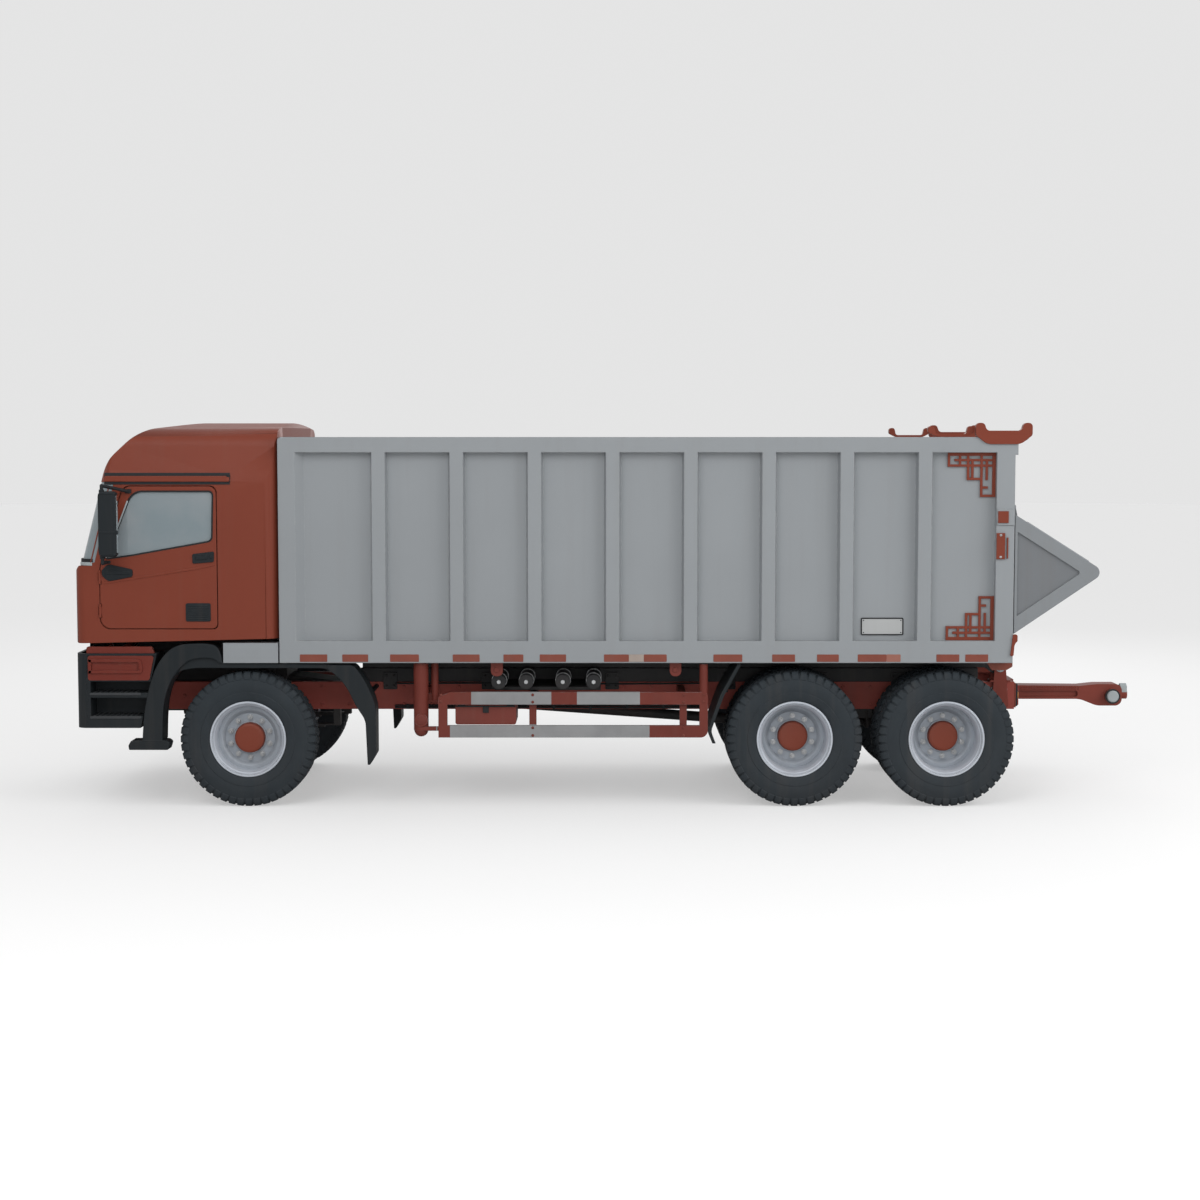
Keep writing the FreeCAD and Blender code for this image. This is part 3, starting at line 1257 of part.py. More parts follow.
def make_tail():
    """Plates on the ends of the rails that carry the lamps, each side of the tow bar's flange."""
    y0, y1 = -RAIL_OUT_Y, -TOW_FLANGE_HALF - 15
    z0, z1 = RAIL_FOOT_Z + 14, RAIL_TOP_Z - 14
    x = RAIL_REAR_X + SEAT
    keep("tail_beams", both_sides(box((x, x + LAMP_PLATE_T), (y0, y1), (z0, z1))))
    x += LAMP_PLATE_T + SEAT
    lamp = prism([(y0 + 8, z0 + 8, 20), (y1 - 8, z0 + 8, 20), (y1 - 8, z1 - 8, 20), (y0 + 8, z1 - 8, 20)],
                 "yz", x, x + TAIL_LAMP_T)
    keep("tail_lamps", both_sides(lamp))


def make_tow_bar():
    """Ribbed bar with a round head, its cross pin and the nut on its tip."""
    x0, x2 = TOW_FRONT_X, TOW_TIP_X - TOW_NUT_L
    x1 = x2 - TOW_HEAD_L
    foot, top = TOW_FOOT_Z, TOW_TOP_Z
    flange = box((RAIL_REAR_X, x0), (-TOW_FLANGE_HALF, TOW_FLANGE_HALF), (RAIL_FOOT_Z, RAIL_TOP_Z))
    shaft = prism(
        [(x0 - 5, foot + 60), (x1 - 40, foot + 60, 200), (x1 + 110, foot, 200), (x2, foot, 60),
         (x2, top, 60), (x1 + 110, top, 200), (x1 - 40, top - 16, 200), (x0 - 5, top - 10)],
        "xz", -TOW_HALF_W, TOW_HALF_W,
    )
    hollow_half = TOW_HALF_W - 22
    channel = prism(
        [(x0 + 20, foot + 80), (x1 - 60, foot + 80, 20), (x1 - 60, top - 60, 20), (x0 + 20, top - 60)],
        "xz", hollow_half, TOW_HALF_W + 1,
    )
    shaft = shaft.cut(both_sides(channel))
    nut = bar("x", (0, TOW_MID_Z), TOW_NUT_R, x2 - 1, TOW_TIP_X)
    pin = bar("y", (x1 + TOW_HEAD_L - 96, TOW_MID_Z - 6.5), TOW_PIN_R, -TOW_PIN_HALF, TOW_PIN_HALF)
    keep("tow_bar", join(flange, shaft, nut, pin))


# Tipping body

def rib(x_mid):
    """Upright rib on the left side, narrower at its face."""
    half, face = RIB_W / 2, RIB_FACE_W / 2
    back_y = -HALF_W + PANEL_OUT
    return prism([(x_mid - half, back_y), (x_mid + half, back_y), (x_mid + face, -HALF_W),
                  (x_mid - face, -HALF_W)], "xy", BODY_SILL_Z, TOP_RAIL_Z)


def make_body_side():
    """Sill, top rail, recessed panel, ribs and posts of one side, with the corbel behind the rail."""
    y_out, x0, x1 = -HALF_W, BODY_FRONT_X, BODY_REAR_X
    panel_y = y_out + PANEL_OUT
    upright = (BODY_SILL_Z, TOP_RAIL_Z)
    low = box((x0, x1), (y_out, -RAIL_IN_Y), (BODY_FOOT_Z, BODY_SILL_Z))
    top = prism([(x0, TOP_RAIL_Z), (x1, TOP_RAIL_Z), (x1, BODY_TOP_Z), (x0, BODY_TOP_Z, 30)],
                "xz", y_out, -RAIL_IN_Y)
    panel = box((x0, x1), (panel_y, panel_y + PANEL_T), upright)
    front = prism([(x0, y_out), (x0 + POST_FRONT_FACE_W, y_out), (x0 + POST_FRONT_W, panel_y),
                   (x0, panel_y)], "xy", *upright)
    rear = box((x1 - POST_REAR_W, x1), (y_out, panel_y), upright)
    ribs = [rib(FIRST_RIB_X + RIB_PITCH * i) for i in range(RIB_COUNT)]
    collar = box((x1 - POST_REAR_W + 6, x1), (y_out - COLLAR_OUT, y_out),
                 (COLLAR_FOOT_Z, COLLAR_FOOT_Z + COLLAR_H))
    corbel = prism(
        [(x1 - 1, TOP_RAIL_Z - 20), (x1 + 23, TOP_RAIL_Z - 20), (x1 + 23, TOP_RAIL_Z + 88, 20),
         (x1 + 90, TOP_RAIL_Z + 100, 30), (x1 + 118, BODY_TOP_Z), (x1 - 1, BODY_TOP_Z)],
        "xz", y_out, y_out + CORBEL_W,
    )
    keep_pair("body_side", join(low, top, panel, front, rear, *ribs, collar, corbel))


def floor_sill(y0):
    """Long sill under the floor that ends in the tipping lug."""
    x, z, r = TIP_X, TIP_Z, LUG_R
    start = BODY_FRONT_X + 600
    foot = SUB_TOP_Z + GAP
    sill = prism(
        [(start, BODY_FOOT_Z), (start, foot), (x - 130, foot), (x - r, z - r, 50),
         (x + r, z - r, r - 1), (x + r, z + r, r - 1), (BODY_REAR_X - 10, BODY_FOOT_Z)],
        "xz", y0, y0 + RAIL_W,
    )
    return sill.cut(bar("y", (x, z), TIP_PIN_R + RUN, y0 - 1, y0 + RAIL_W + 1))


def make_body_floor():
    """Floor plate on cross bearers, with the long sills and the ears over the hoist's eye."""
    x0, x1, y = BODY_FRONT_X, BODY_REAR_X, RAIL_IN_Y
    plate_foot = BODY_SILL_Z - FLOOR_T
    plate = box((x0 + END_WALL_T, x1), (-y, y), (plate_foot, BODY_SILL_Z))
    pitch = (x1 - x0 - BEARER_W) / (BEARER_COUNT - 1)
    bearers = []
    for i in range(BEARER_COUNT):
        x = x0 + pitch * i
        bearers.append(box((x, x + BEARER_W), (-y, y), (BODY_FOOT_Z, plate_foot)))
    sills = [floor_sill(-RAIL_OUT_Y), floor_sill(RAIL_OUT_Y - RAIL_W)]
    ex, ez, ear_t = HOIST_EYE_X, HOIST_EYE_Z, 25.0
    ears = []
    for y0 in (-HOIST_EYE_HALF - 50, HOIST_EYE_HALF + 25):
        ear = prism(
            [(ex - 90, BODY_FOOT_Z + 30), (ex + 90, BODY_FOOT_Z + 30), (ex + 50, ez - 55, 40),
             (ex - 50, ez - 55, 40)],
            "xz", y0, y0 + ear_t,
        )
        ears.append(ear.cut(bar("y", (ex, ez), HOIST_PIN_R, y0 - 1, y0 + ear_t + 1)))
    beam = box((ex - 120, ex + 120), (-RAIL_OUT_Y, RAIL_OUT_Y), (BODY_FOOT_Z + 10, plate_foot))
    keep("body_floor", join(plate, *bearers, *sills, beam, *ears))


def make_body_ends():
    """Front wall, and the head over the tailgate with the ears and pins that the gate hangs on."""
    x0, x1, y = BODY_FRONT_X, BODY_REAR_X, RAIL_IN_Y
    inner_y = HALF_W - PANEL_OUT - PANEL_T
    front = box((x0, x0 + END_WALL_T), (-inner_y, inner_y), (BODY_SILL_Z, TOP_RAIL_Z))
    foot = box((x0, x0 + END_WALL_T), (-y, y), (BODY_SILL_Z - FLOOR_T, BODY_SILL_Z))
    front_rail = box((x0, x0 + END_RAIL_W), (-y, y), (TOP_RAIL_Z, BODY_TOP_Z))
    keep("body_front_wall", join(front, foot, front_rail))
    rear = box((x1 - END_WALL_T, x1), (-inner_y, inner_y), (GATE_TOP_Z + GAP, TOP_RAIL_Z))
    rear_rail = box((x1 - END_RAIL_W, x1), (-y, y), (TOP_RAIL_Z, BODY_TOP_Z))
    px, pz = GATE_PIN_X, GATE_PIN_Z
    reach = GATE_LUG_W / 2 + SIDE_PLAY
    ears = []
    for y_mid in GATE_HINGE_YS:
        for y0 in (y_mid - reach - GATE_EAR_T, y_mid + reach):
            ears.append(prism(
                [(x1 - 10, pz - 30), (px + 30, pz - 30, 29), (px + 30, pz + 30, 29), (x1 - 10, pz + 60)],
                "xz", y0, y0 + GATE_EAR_T,
            ))
        end = reach + GATE_EAR_T
        ears.append(bar("y", (px, pz), GATE_PIN_R, y_mid - end, y_mid + end))
    keep("body_rear_head", join(rear, rear_rail, *ears))


def gate_recess():
    """Recessed face of the gate's end, inside an even border along both slopes."""
    reach = GATE_TIP_X - GATE_FRONT_X
    fall, rise = (GATE_TOP_Z - GATE_TIP_Z) / reach, (GATE_TIP_Z - GATE_FOOT_Z) / reach
    high = GATE_TOP_Z - GATE_BORDER * math.hypot(1, fall)
    low = GATE_FOOT_Z + GATE_BORDER * math.hypot(1, rise)
    run = (high - low) / (fall + rise)
    x0, start = GATE_FRONT_X, GATE_STRIP
    return [(x0 + start, low + rise * start), (x0 + run, low + rise * run, 20),
            (x0 + start, high - fall * start)]


def make_tailgate():
    """Wedge-shaped hollow gate, open towards the load, with recessed ends."""
    x0, y = GATE_FRONT_X, HALF_W - 10
    corners = [(x0, GATE_FOOT_Z), (GATE_TIP_X, GATE_TIP_Z, 60), (x0, GATE_TOP_Z)]
    wire = outline(corners, "xz")
    hollow = push(shrunk(wire, GATE_T), "xz", -y + GATE_T, y - GATE_T)
    mouth = box((x0 - 1, x0 + GATE_T + 60), (-y + GATE_T, y - GATE_T),
                (GATE_FOOT_Z + 75, GATE_TOP_Z - 75))
    recess = prism(gate_recess(), "xz", -y - 1, -y + GATE_RECESS)
    gate = push(wire, "xz", -y, y).cut(group(hollow, mouth)).cut(both_sides(recess))
    px, pz = GATE_PIN_X, GATE_PIN_Z
    half = GATE_LUG_W / 2
    lugs = []
    for y_mid in GATE_HINGE_YS:
        lug = prism(
            [(px - 28, pz + 28, 27), (px - 28, GATE_TOP_Z - 50), (px + 60, GATE_TOP_Z - 90),
             (px + 28, pz + 28, 27)],
            "xz", y_mid - half, y_mid + half,
        )
        lugs.append(lug.cut(bar("y", (px, pz), GATE_PIN_R + RUN, y_mid - half - 1, y_mid + half + 1)))
    keep("tailgate", join(gate, *lugs))


def make_hoist():
    """Telescoping hoist: the barrel on the sub-frame's pin and the rod that pushes the floor up."""
    foot = V(HOIST_FOOT_X, 0, HOIST_FOOT_Z)
    eye = V(HOIST_EYE_X, 0, HOIST_EYE_Z)
    along = (eye - foot).normalize()
    mouth = foot.distanceToPoint(eye) - HOIST_EYE_R - 130
    half = HOIST_EYE_HALF
    barrel = tube_between(foot + along * 45, foot + along * mouth, HOIST_BARREL_R)
    tail = bar("y", (foot.x, foot.z), HOIST_EYE_R + 2, -half, half)
    bore = tube_between(foot + along * 240, foot + along * (mouth + 1), HOIST_ROD_R + RUN)
    pin_hole = bar("y", (foot.x, foot.z), HOIST_PIN_R + RUN, -half - 1, half + 1)
    keep("hoist_barrel", join(barrel, tail).cut(bore).cut(pin_hole))
    rod = tube_between(foot + along * 260, eye, HOIST_ROD_R)
    head = bar("y", (eye.x, eye.z), HOIST_EYE_R, -half, half)
    eye_hole = bar("y", (eye.x, eye.z), HOIST_PIN_R + RUN, -half - 1, half + 1)
    keep("hoist_rod", join(rod, head).cut(eye_hole))


# Latches and ornaments on the body

def make_tail_latches():
    """Red housings on the rear posts and the lever at the foot of each."""
    x1, y_out = BODY_REAR_X, -HALF_W
    y1 = y_out - SEAT
    on_collar = box((x1 - 140, x1 - 53), (y1 - COLLAR_OUT - LATCH_OUT, y1 - COLLAR_OUT),
                    (COLLAR_FOOT_Z + 20, COLLAR_FOOT_Z + COLLAR_H - 17))
    housing = box((x1 - 150, x1 - 80), (y1 - LATCH_OUT - 6, y1),
                  (COLLAR_FOOT_Z - 281, COLLAR_FOOT_Z - 64))
    rod = bar("z", (x1 - 58, y1 - 7), 7, COLLAR_FOOT_Z - 276, COLLAR_FOOT_Z - 102)
    z = BODY_SILL_Z
    lever = prism(
        [(x1 - 24, z - 126, 10), (x1 + 4, z - 126, 12), (x1 + 12, z - 20, 60), (x1 + 36, z - 2, 16),
         (x1 + 36, z + 56, 16), (x1 - 2, z + 56, 12), (x1 - 10, z - 30, 60)],
        "xz", y1 - 16, y1,
    )
    keep("tail_latches", both_sides(group(on_collar, housing, rod, lever)))


def fret_corner():
    """Stepped lattice of bars; u runs forwards from the rear post, v away from the rail."""
    b = FRET_BAR
    steps = [(0.32, 1.0), (0.6, 0.62), (1.0, 0.32)]
    bars = [(0, 0, FRET_L, b * 1.4), (0, 0, b * 1.4, FRET_H)]
    previous_u = 0.0
    for share_u, share_v in steps:
        u, v = FRET_L * share_u, FRET_H * share_v
        bars.append((previous_u, v - b, u, v))
        bars.append((u - b, 0, u, v))
        previous_u = u - b
    inner_v = FRET_H * 0.32
    bars += [
        (0, inner_v - b, FRET_L * 0.62, inner_v),
        (0, FRET_H * 0.17 - b / 2, FRET_L * 0.86, FRET_H * 0.17 + b / 2),
        (FRET_L * 0.16, FRET_H * 0.17, FRET_L * 0.16 + b, FRET_H * 0.62),
        (FRET_L * 0.46, FRET_H * 0.17, FRET_L * 0.46 + b, FRET_H * 0.62),
        (FRET_L * 0.72, 0, FRET_L * 0.72 + b, inner_v),
        (FRET_L * 0.16, FRET_H * 0.76, FRET_L * 0.32, FRET_H * 0.76 + b),
    ]
    return bars


def make_fretwork():
    """Lattice corners on the side panels, above and below, against the rear posts."""
    x1 = BODY_REAR_X - POST_REAR_W - SEAT
    y1 = -HALF_W + PANEL_OUT - SEAT
    corners = []
    for edge_z, turn in ((TOP_RAIL_Z - SEAT, -1), (BODY_SILL_Z + SEAT, 1)):
        solids = []
        for u0, v0, u1, v1 in fret_corner():
            z0, z1 = sorted((edge_z + turn * v0, edge_z + turn * v1))
            solids.append(box((x1 - u1, x1 - u0), (y1 - FRET_T, y1), (z0, z1)))
        corners.append(join(*solids))
    keep("fretwork", both_sides(group(*corners)))


def finial(x0, z0, length, height, saddle):
    """Side outline of a boat-shaped ridge ornament with a bulb at each end."""
    bulb = height * 0.12 + 14
    x1, top = x0 + length, z0 + height
    run, belly = length * 0.2, z0 + height * 0.42
    return [
        (x0 + run, z0, 110), (x1 - run, z0, 110), (x1, belly, height * 0.2),
        (x1, top, bulb - 2), (x1 - bulb * 2, top, bulb - 2), (x1 - bulb * 2.6, z0 + saddle, bulb),
        (x0 + bulb * 2.6, z0 + saddle, bulb), (x0 + bulb * 2, top, bulb - 2),
        (x0, top, bulb - 2), (x0, belly, height * 0.2),
    ]


def make_finials():
    """Two ornaments on each top rail: the rear one laps its outer face, the other stands on it."""
    x1, y_out = BODY_REAR_X, -HALF_W
    top = BODY_TOP_Z + SEAT
    lap = 14.0
    side = finial(x1 + FINIAL_BEYOND - FINIAL_L, BODY_TOP_Z - FINIAL_LOW, FINIAL_L, FINIAL_H,
                  FINIAL_SADDLE_H)
    skin = prism(side, "xz", y_out - lap, y_out - SEAT)
    above = box((x1 - FINIAL_L, x1 + FINIAL_L), (y_out - lap, y_out + FINIAL_W), (top, top + FINIAL_H))
    upper = prism(side, "xz", y_out - lap, y_out - lap + FINIAL_W).common(above)
    rear = join(skin, upper)
    front = prism(finial(x1 - FRONT_FINIAL_BACK, top, FRONT_FINIAL_L, FRONT_FINIAL_H,
                         FRONT_FINIAL_SADDLE_H), "xz", y_out + 40, y_out + 40 + FINIAL_W)
    keep("finials", both_sides(group(rear, front)))


def make_all():
    make_front_wheel()
    make_rear_wheels()
    make_front_axle()
    make_knuckle()
    make_tie_rod()
    make_springs()
    make_rear_axles()
    make_chassis()
    make_sub_frame()
    make_drive()
    make_hinge_brackets()
    make_cab()
    make_grille()
    make_door_fittings()
    make_cab_inside()
    make_front_end()
    make_steps()
    make_front_mudguards()
    make_cab_sills()
    make_side_guards()
    make_tool_boxes()
    make_air_tanks()
    make_rear_mudguards()
    make_tail()
    make_tow_bar()
    make_body_side()
    make_body_floor()
    make_body_ends()
    make_tailgate()
    make_hoist()
    make_tail_latches()
    make_fretwork()
    make_finials()


make_all()
os.makedirs("parts", exist_ok=True)
for name, shape in PIECES.items():
    moved = shape.copy()
    moved.translate(V(-ORIGIN_X, 0, 0))
    moved.exportStep(os.path.join("parts", name + ".step"))
    state = "ok" if moved.isValid() else "INVALID"
    print(name, len(moved.Solids), round(moved.Volume / 1e6, 1), state)
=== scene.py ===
import math

import bmesh
import bpy
from mathutils import Matrix, Vector


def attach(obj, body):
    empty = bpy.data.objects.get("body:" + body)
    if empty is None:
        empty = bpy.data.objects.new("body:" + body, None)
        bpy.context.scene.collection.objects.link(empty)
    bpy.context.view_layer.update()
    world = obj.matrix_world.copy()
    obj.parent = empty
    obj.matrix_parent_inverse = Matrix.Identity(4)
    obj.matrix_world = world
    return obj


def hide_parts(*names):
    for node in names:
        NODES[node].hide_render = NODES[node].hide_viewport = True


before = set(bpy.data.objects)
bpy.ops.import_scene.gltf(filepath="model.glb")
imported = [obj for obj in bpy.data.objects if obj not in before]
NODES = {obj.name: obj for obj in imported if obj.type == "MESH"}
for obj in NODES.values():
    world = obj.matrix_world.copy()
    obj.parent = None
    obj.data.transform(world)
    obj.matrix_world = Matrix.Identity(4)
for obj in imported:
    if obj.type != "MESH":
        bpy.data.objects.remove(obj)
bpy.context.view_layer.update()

# The lorry's stations are millimetres behind the cab's front face; its origin is midway along it.
MID_STATION = 4553.5
TO_METRES = Matrix.Scale(0.001, 4) @ Matrix.Translation((-MID_STATION, 0, 0))
LEFT, RIGHT = -1, 1
SIDES = {"left": LEFT, "right": RIGHT}


# Camera, first of all: about level with the body's rail, well back, looking along +Y and down

CAMERA_PLACE = (-0.1595, -18.701, 3.057)
CAMERA_PITCH = 4.3


def make_camera():
    lens = bpy.data.cameras.new("view_from_left")
    lens.lens = 63.0
    lens.sensor_width = 36.0
    camera = bpy.data.objects.new("view_from_left", lens)
    camera.location = CAMERA_PLACE
    camera.rotation_euler = (math.radians(90 - CAMERA_PITCH), 0, 0)
    bpy.context.collection.objects.link(camera)
    bpy.context.scene.camera = camera


make_camera()


# Shape tools: every length in millimetres, at the lorry's stations

SHARP_DEGREES = 32
PLANES = {
    "xz": lambda u, v, w: Vector((u, w, v)),
    "yz": lambda u, v, w: Vector((w, u, v)),
    "xy": lambda u, v, w: Vector((u, v, w)),
}


def rectangle(left, right, foot, top, inset=0):
    """Corners of a rectangle, once round from its lower left, drawn in by the inset."""
    left, right, foot, top = left + inset, right - inset, foot + inset, top - inset
    return [(left, foot), (right, foot), (right, top), (left, top)]


def with_image(half):
    """An outline's one half as far as the middle, and its image across the lorry."""
    return half + [(point[0], -point[1], *point[2:]) for point in half[-2::-1]]


def outline(bm, corners, plane, level, rounding=0.0):
    """Flat face. A corner's third value, or else the given rounding, is how far along its edges
    the rounding starts."""
    at = PLANES[plane]
    verts = [bm.verts.new(at(corner[0], corner[1], level)) for corner in corners]
    face = bm.faces.new(verts)
    for vert, corner in zip(verts, corners):
        reach = corner[2] if len(corner) > 2 else rounding
        if reach:
            cut = bmesh.ops.bevel(bm, geom=[vert], offset=reach, segments=5, profile=0.5,
                                  affect="VERTICES", material=-1, clamp_overlap=True)
            face = max((f for v in cut["verts"] for f in v.link_faces), key=lambda f: f.calc_area())
    return face


def push(bm, faces, vector):
    """Gives flat faces a thickness; returns every vertex of the solid."""
    kept = {v for f in faces for v in f.verts}
    pushed = bmesh.ops.extrude_face_region(bm, geom=faces, use_keep_orig=True)["geom"]
    moved = [g for g in pushed if isinstance(g, bmesh.types.BMVert)]
    bmesh.ops.translate(bm, verts=moved, vec=vector)
    return moved + list(kept)


def plate(bm, corners, plane, low, high, rounding=0.0):
    """Outline pushed from one level to another."""
    face = outline(bm, corners, plane, low, rounding)
    return push(bm, [face], PLANES[plane](0, 0, high - low))


def frame_plate(bm, corners, plane, low, high, width, rounding=0.0):
    """Frame of even width just inside an outline."""
    face = outline(bm, corners, plane, low, rounding)
    rim = bmesh.ops.inset_region(bm, faces=[face], thickness=width, use_boundary=True,
                                 use_even_offset=True)["faces"]
    bmesh.ops.delete(bm, geom=[face], context="FACES_ONLY")
    return push(bm, rim, PLANES[plane](0, 0, high - low))


def block(bm, xs, ys, zs):
    return plate(bm, rectangle(*xs, *zs), "xz", *ys)


def swing(bm, verts, centre, degrees, axis="Y"):
    """Turns part of a mesh about a point."""
    bmesh.ops.rotate(bm, verts=list(set(verts)), cent=centre,
                     matrix=Matrix.Rotation(math.radians(degrees), 3, axis))


def turned(bm, profile, centre, steps, closed=True, axis="y"):
    """Profile of (distance, radius) points spun round an axle: across the lorry at (station,
    height), or along it at (y, height)."""
    if axis == "y":
        verts = [bm.verts.new((centre[0], along, centre[1] + radius)) for along, radius in profile]
        middle, direction = (centre[0], 0, centre[1]), (0, 1, 0)
    else:
        verts = [bm.verts.new((along, centre[0], centre[1] + radius)) for along, radius in profile]
        middle, direction = (0, centre[0], centre[1]), (1, 0, 0)
    pairs = list(zip(verts, verts[1:] + verts[:1]))[: None if closed else -1]
    edges = [bm.edges.new(pair) for pair in pairs]
    bmesh.ops.spin(bm, geom=verts + edges, cent=middle, axis=direction, dvec=(0, 0, 0),
                   angle=math.tau, steps=steps, use_merge=True, use_normal_flip=False,
                   use_duplicate=False)


def repeated_round(bm, centre, copies):
    """Everything in the mesh, copied evenly round an axle."""
    geom = bm.verts[:] + bm.edges[:] + bm.faces[:]
    bmesh.ops.spin(bm, geom=geom, cent=(centre[0], 0, centre[1]), axis=(0, 1, 0), dvec=(0, 0, 0),
                   angle=math.tau * (copies - 1) / copies, steps=copies - 1, use_merge=False,
                   use_normal_flip=False, use_duplicate=True)


def rod(bm, start, end, radius, sides=16, end_radius=None):
    """Round bar between two points."""
    start, end = Vector(start), Vector(end)
    run = end - start
    turn = run.to_track_quat("Z", "Y").to_matrix().to_4x4()
    seat = Matrix.Translation((start + end) / 2) @ turn
    made = bmesh.ops.create_cone(bm, cap_ends=True, cap_tris=False, segments=sides, radius1=radius,
                                 radius2=radius if end_radius is None else end_radius,
                                 depth=run.length, matrix=seat)
    return made["verts"]


def bent_rod(bm, points, radius, sides=14):
    """Round bar through several points, with a ball at each bend."""
    for start, end in zip(points, points[1:]):
        rod(bm, start, end, radius, sides)
    for point in points[1:-1]:
        ball(bm, point, radius * 1.01)


def ball(bm, centre, radius, squash=1.0):
    seat = Matrix.Translation(Vector(centre)) @ Matrix.Diagonal((1, squash, 1, 1))
    bmesh.ops.create_uvsphere(bm, u_segments=20, v_segments=10, radius=radius, matrix=seat)


def bolt(bm, point, towards, radius, height):
    """Six-sided head on a thin washer, standing on a face."""
    point, towards = Vector(point), Vector(towards).normalized()
    rod(bm, point - towards, point + towards * height * 0.25, radius * 1.35, sides=14)
    rod(bm, point, point + towards * height, radius, sides=6, end_radius=radius * 0.93)


def bolts(bm, xs, y, zs, radius, height):
    """Bolts on a face of the left side, at each station and height."""
    for x in xs:
        for z in zs:
            bolt(bm, (x, y, z), (0, -1, 0), radius, height)


def soften(bm, width, segments=2):
    """Rounds every edge that turns more than the sharpness angle."""
    least = math.radians(SHARP_DEGREES)
    edges = [e for e in bm.edges if len(e.link_faces) == 2 and e.calc_face_angle(0) > least]
    bmesh.ops.bevel(bm, geom=edges, offset=width, segments=segments, profile=0.5, affect="EDGES",
                    material=-1, clamp_overlap=True)


def mirrored(bm):
    """Adds the other side of the lorry."""
    bmesh.ops.mirror(bm, geom=bm.verts[:] + bm.edges[:] + bm.faces[:], matrix=Matrix.Identity(4),
                     merge_dist=0.001, axis="Y")


def to_side(bm, side):
    """Shapes are drawn on the left; the right-hand one is its image."""
    if side == RIGHT:
        bmesh.ops.scale(bm, vec=(1, -1, 1), verts=bm.verts)


def linked_object(bm, name):
    """Object that takes over a finished mesh."""
    mesh = bpy.data.meshes.new(name)
    bm.to_mesh(mesh)
    bm.free()
    made = bpy.data.objects.new(name, mesh)
    bpy.context.collection.objects.link(made)
    return made


def with_modifiers(thing):
    """The mesh that an object's modifiers make of it."""
    depsgraph = bpy.context.evaluated_depsgraph_get()
    return bpy.data.meshes.new_from_object(thing.evaluated_get(depsgraph))


def piece(bm, name, material, body, stands_for=(), smooth_below=SHARP_DEGREES):
    """Turns a finished mesh into a piece that rides on a body."""
    bmesh.ops.remove_doubles(bm, verts=bm.verts, dist=0.01)
    bmesh.ops.recalc_face_normals(bm, faces=bm.faces)
    bmesh.ops.transform(bm, matrix=TO_METRES, verts=bm.verts)
    made = linked_object(bm, name)
    for polygon in made.data.polygons:
        polygon.use_smooth = True
    made.data.set_sharp_from_angle(angle=math.radians(smooth_below))
    made.data.materials.append(material)
    if smooth_below < 180:
        shading = made.modifiers.new("even_shading", "WEIGHTED_NORMAL")
        shading.keep_sharp = True
    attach(made, body)
    if stands_for:
        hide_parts(*stands_for)
    return made


def shaped(name, material, body, shape, stands_for=()):
    """One piece from a function that fills its mesh."""
    bm = bmesh.new()
    shape(bm)
    piece(bm, name, material, body, stands_for)


def on_side(side_name, name, material, body, shape, stands_for=()):
    """One side's piece; the word SIDE in a body or a node becomes left or right."""
    bm = bmesh.new()
    shape(bm)
    to_side(bm, SIDES[side_name])
    piece(bm, f"{name}_{side_name}", material, body.replace("SIDE", side_name),
          [node.replace("SIDE", side_name) for node in stands_for])


def on_both_sides(name, material, body, shape, stands_for=()):
    """A left piece and its image."""
    for side_name in SIDES:
        on_side(side_name, name, material, body, shape, stands_for)


# Shader groups

def new_group(name, inputs, outputs):
    """Shader group with named sockets; returns its tree, input node and output node."""
    tree = bpy.data.node_groups.new(name, "ShaderNodeTree")
    for label, kind, value in inputs:
        socket = tree.interface.new_socket(name=label, in_out="INPUT", socket_type=kind)
        socket.default_value = value
    for label, kind in outputs:
        tree.interface.new_socket(name=label, in_out="OUTPUT", socket_type=kind)
    return tree, tree.nodes.new("NodeGroupInput"), tree.nodes.new("NodeGroupOutput")


def put(tree, kind, inputs=None, **settings):
    """Adds a node; an input is a value or another node's socket."""
    node = tree.nodes.new(kind)
    for key, value in settings.items():
        setattr(node, key, value)
    for key, value in (inputs or {}).items():
        if isinstance(value, bpy.types.NodeSocket):
            tree.links.new(value, node.inputs[key])
        else:
            node.inputs[key].default_value = value
    return node


def math_node(tree, operation, a, b=0.0, clamp=False):
    return put(tree, "ShaderNodeMath", {0: a, 1: b}, operation=operation, use_clamp=clamp).outputs[0]


def ramp_node(tree, value, low, high, to_low=0.0, to_high=1.0):
    return put(tree, "ShaderNodeMapRange",
               {0: value, 1: low, 2: high, 3: to_low, 4: to_high}).outputs[0]


def blend_node(tree, factor, first, second):
    node = put(tree, "ShaderNodeMix", {0: factor, 6: first, 7: second}, data_type="RGBA")
    return node.outputs[2]


def noise_node(tree, vector, scale, detail=3.0):
    return put(tree, "ShaderNodeTexNoise",
               {"Vector": vector, "Scale": scale, "Detail": detail, "Roughness": 0.55}).outputs[0]


def place_node(tree):
    """Where a point lies, in metres in its piece's own frame."""
    return put(tree, "ShaderNodeTexCoord").outputs["Object"]


def within_node(tree, value, reach):
    """One where a value lies nearer to zero than a reach."""
    return math_node(tree, "LESS_THAN", math_node(tree, "ABSOLUTE", value), reach)


COLOUR, VALUE, VECTOR = "NodeSocketColor", "NodeSocketFloat", "NodeSocketVector"
ROAD_DUST = (0.15, 0.12, 0.10, 1.0)


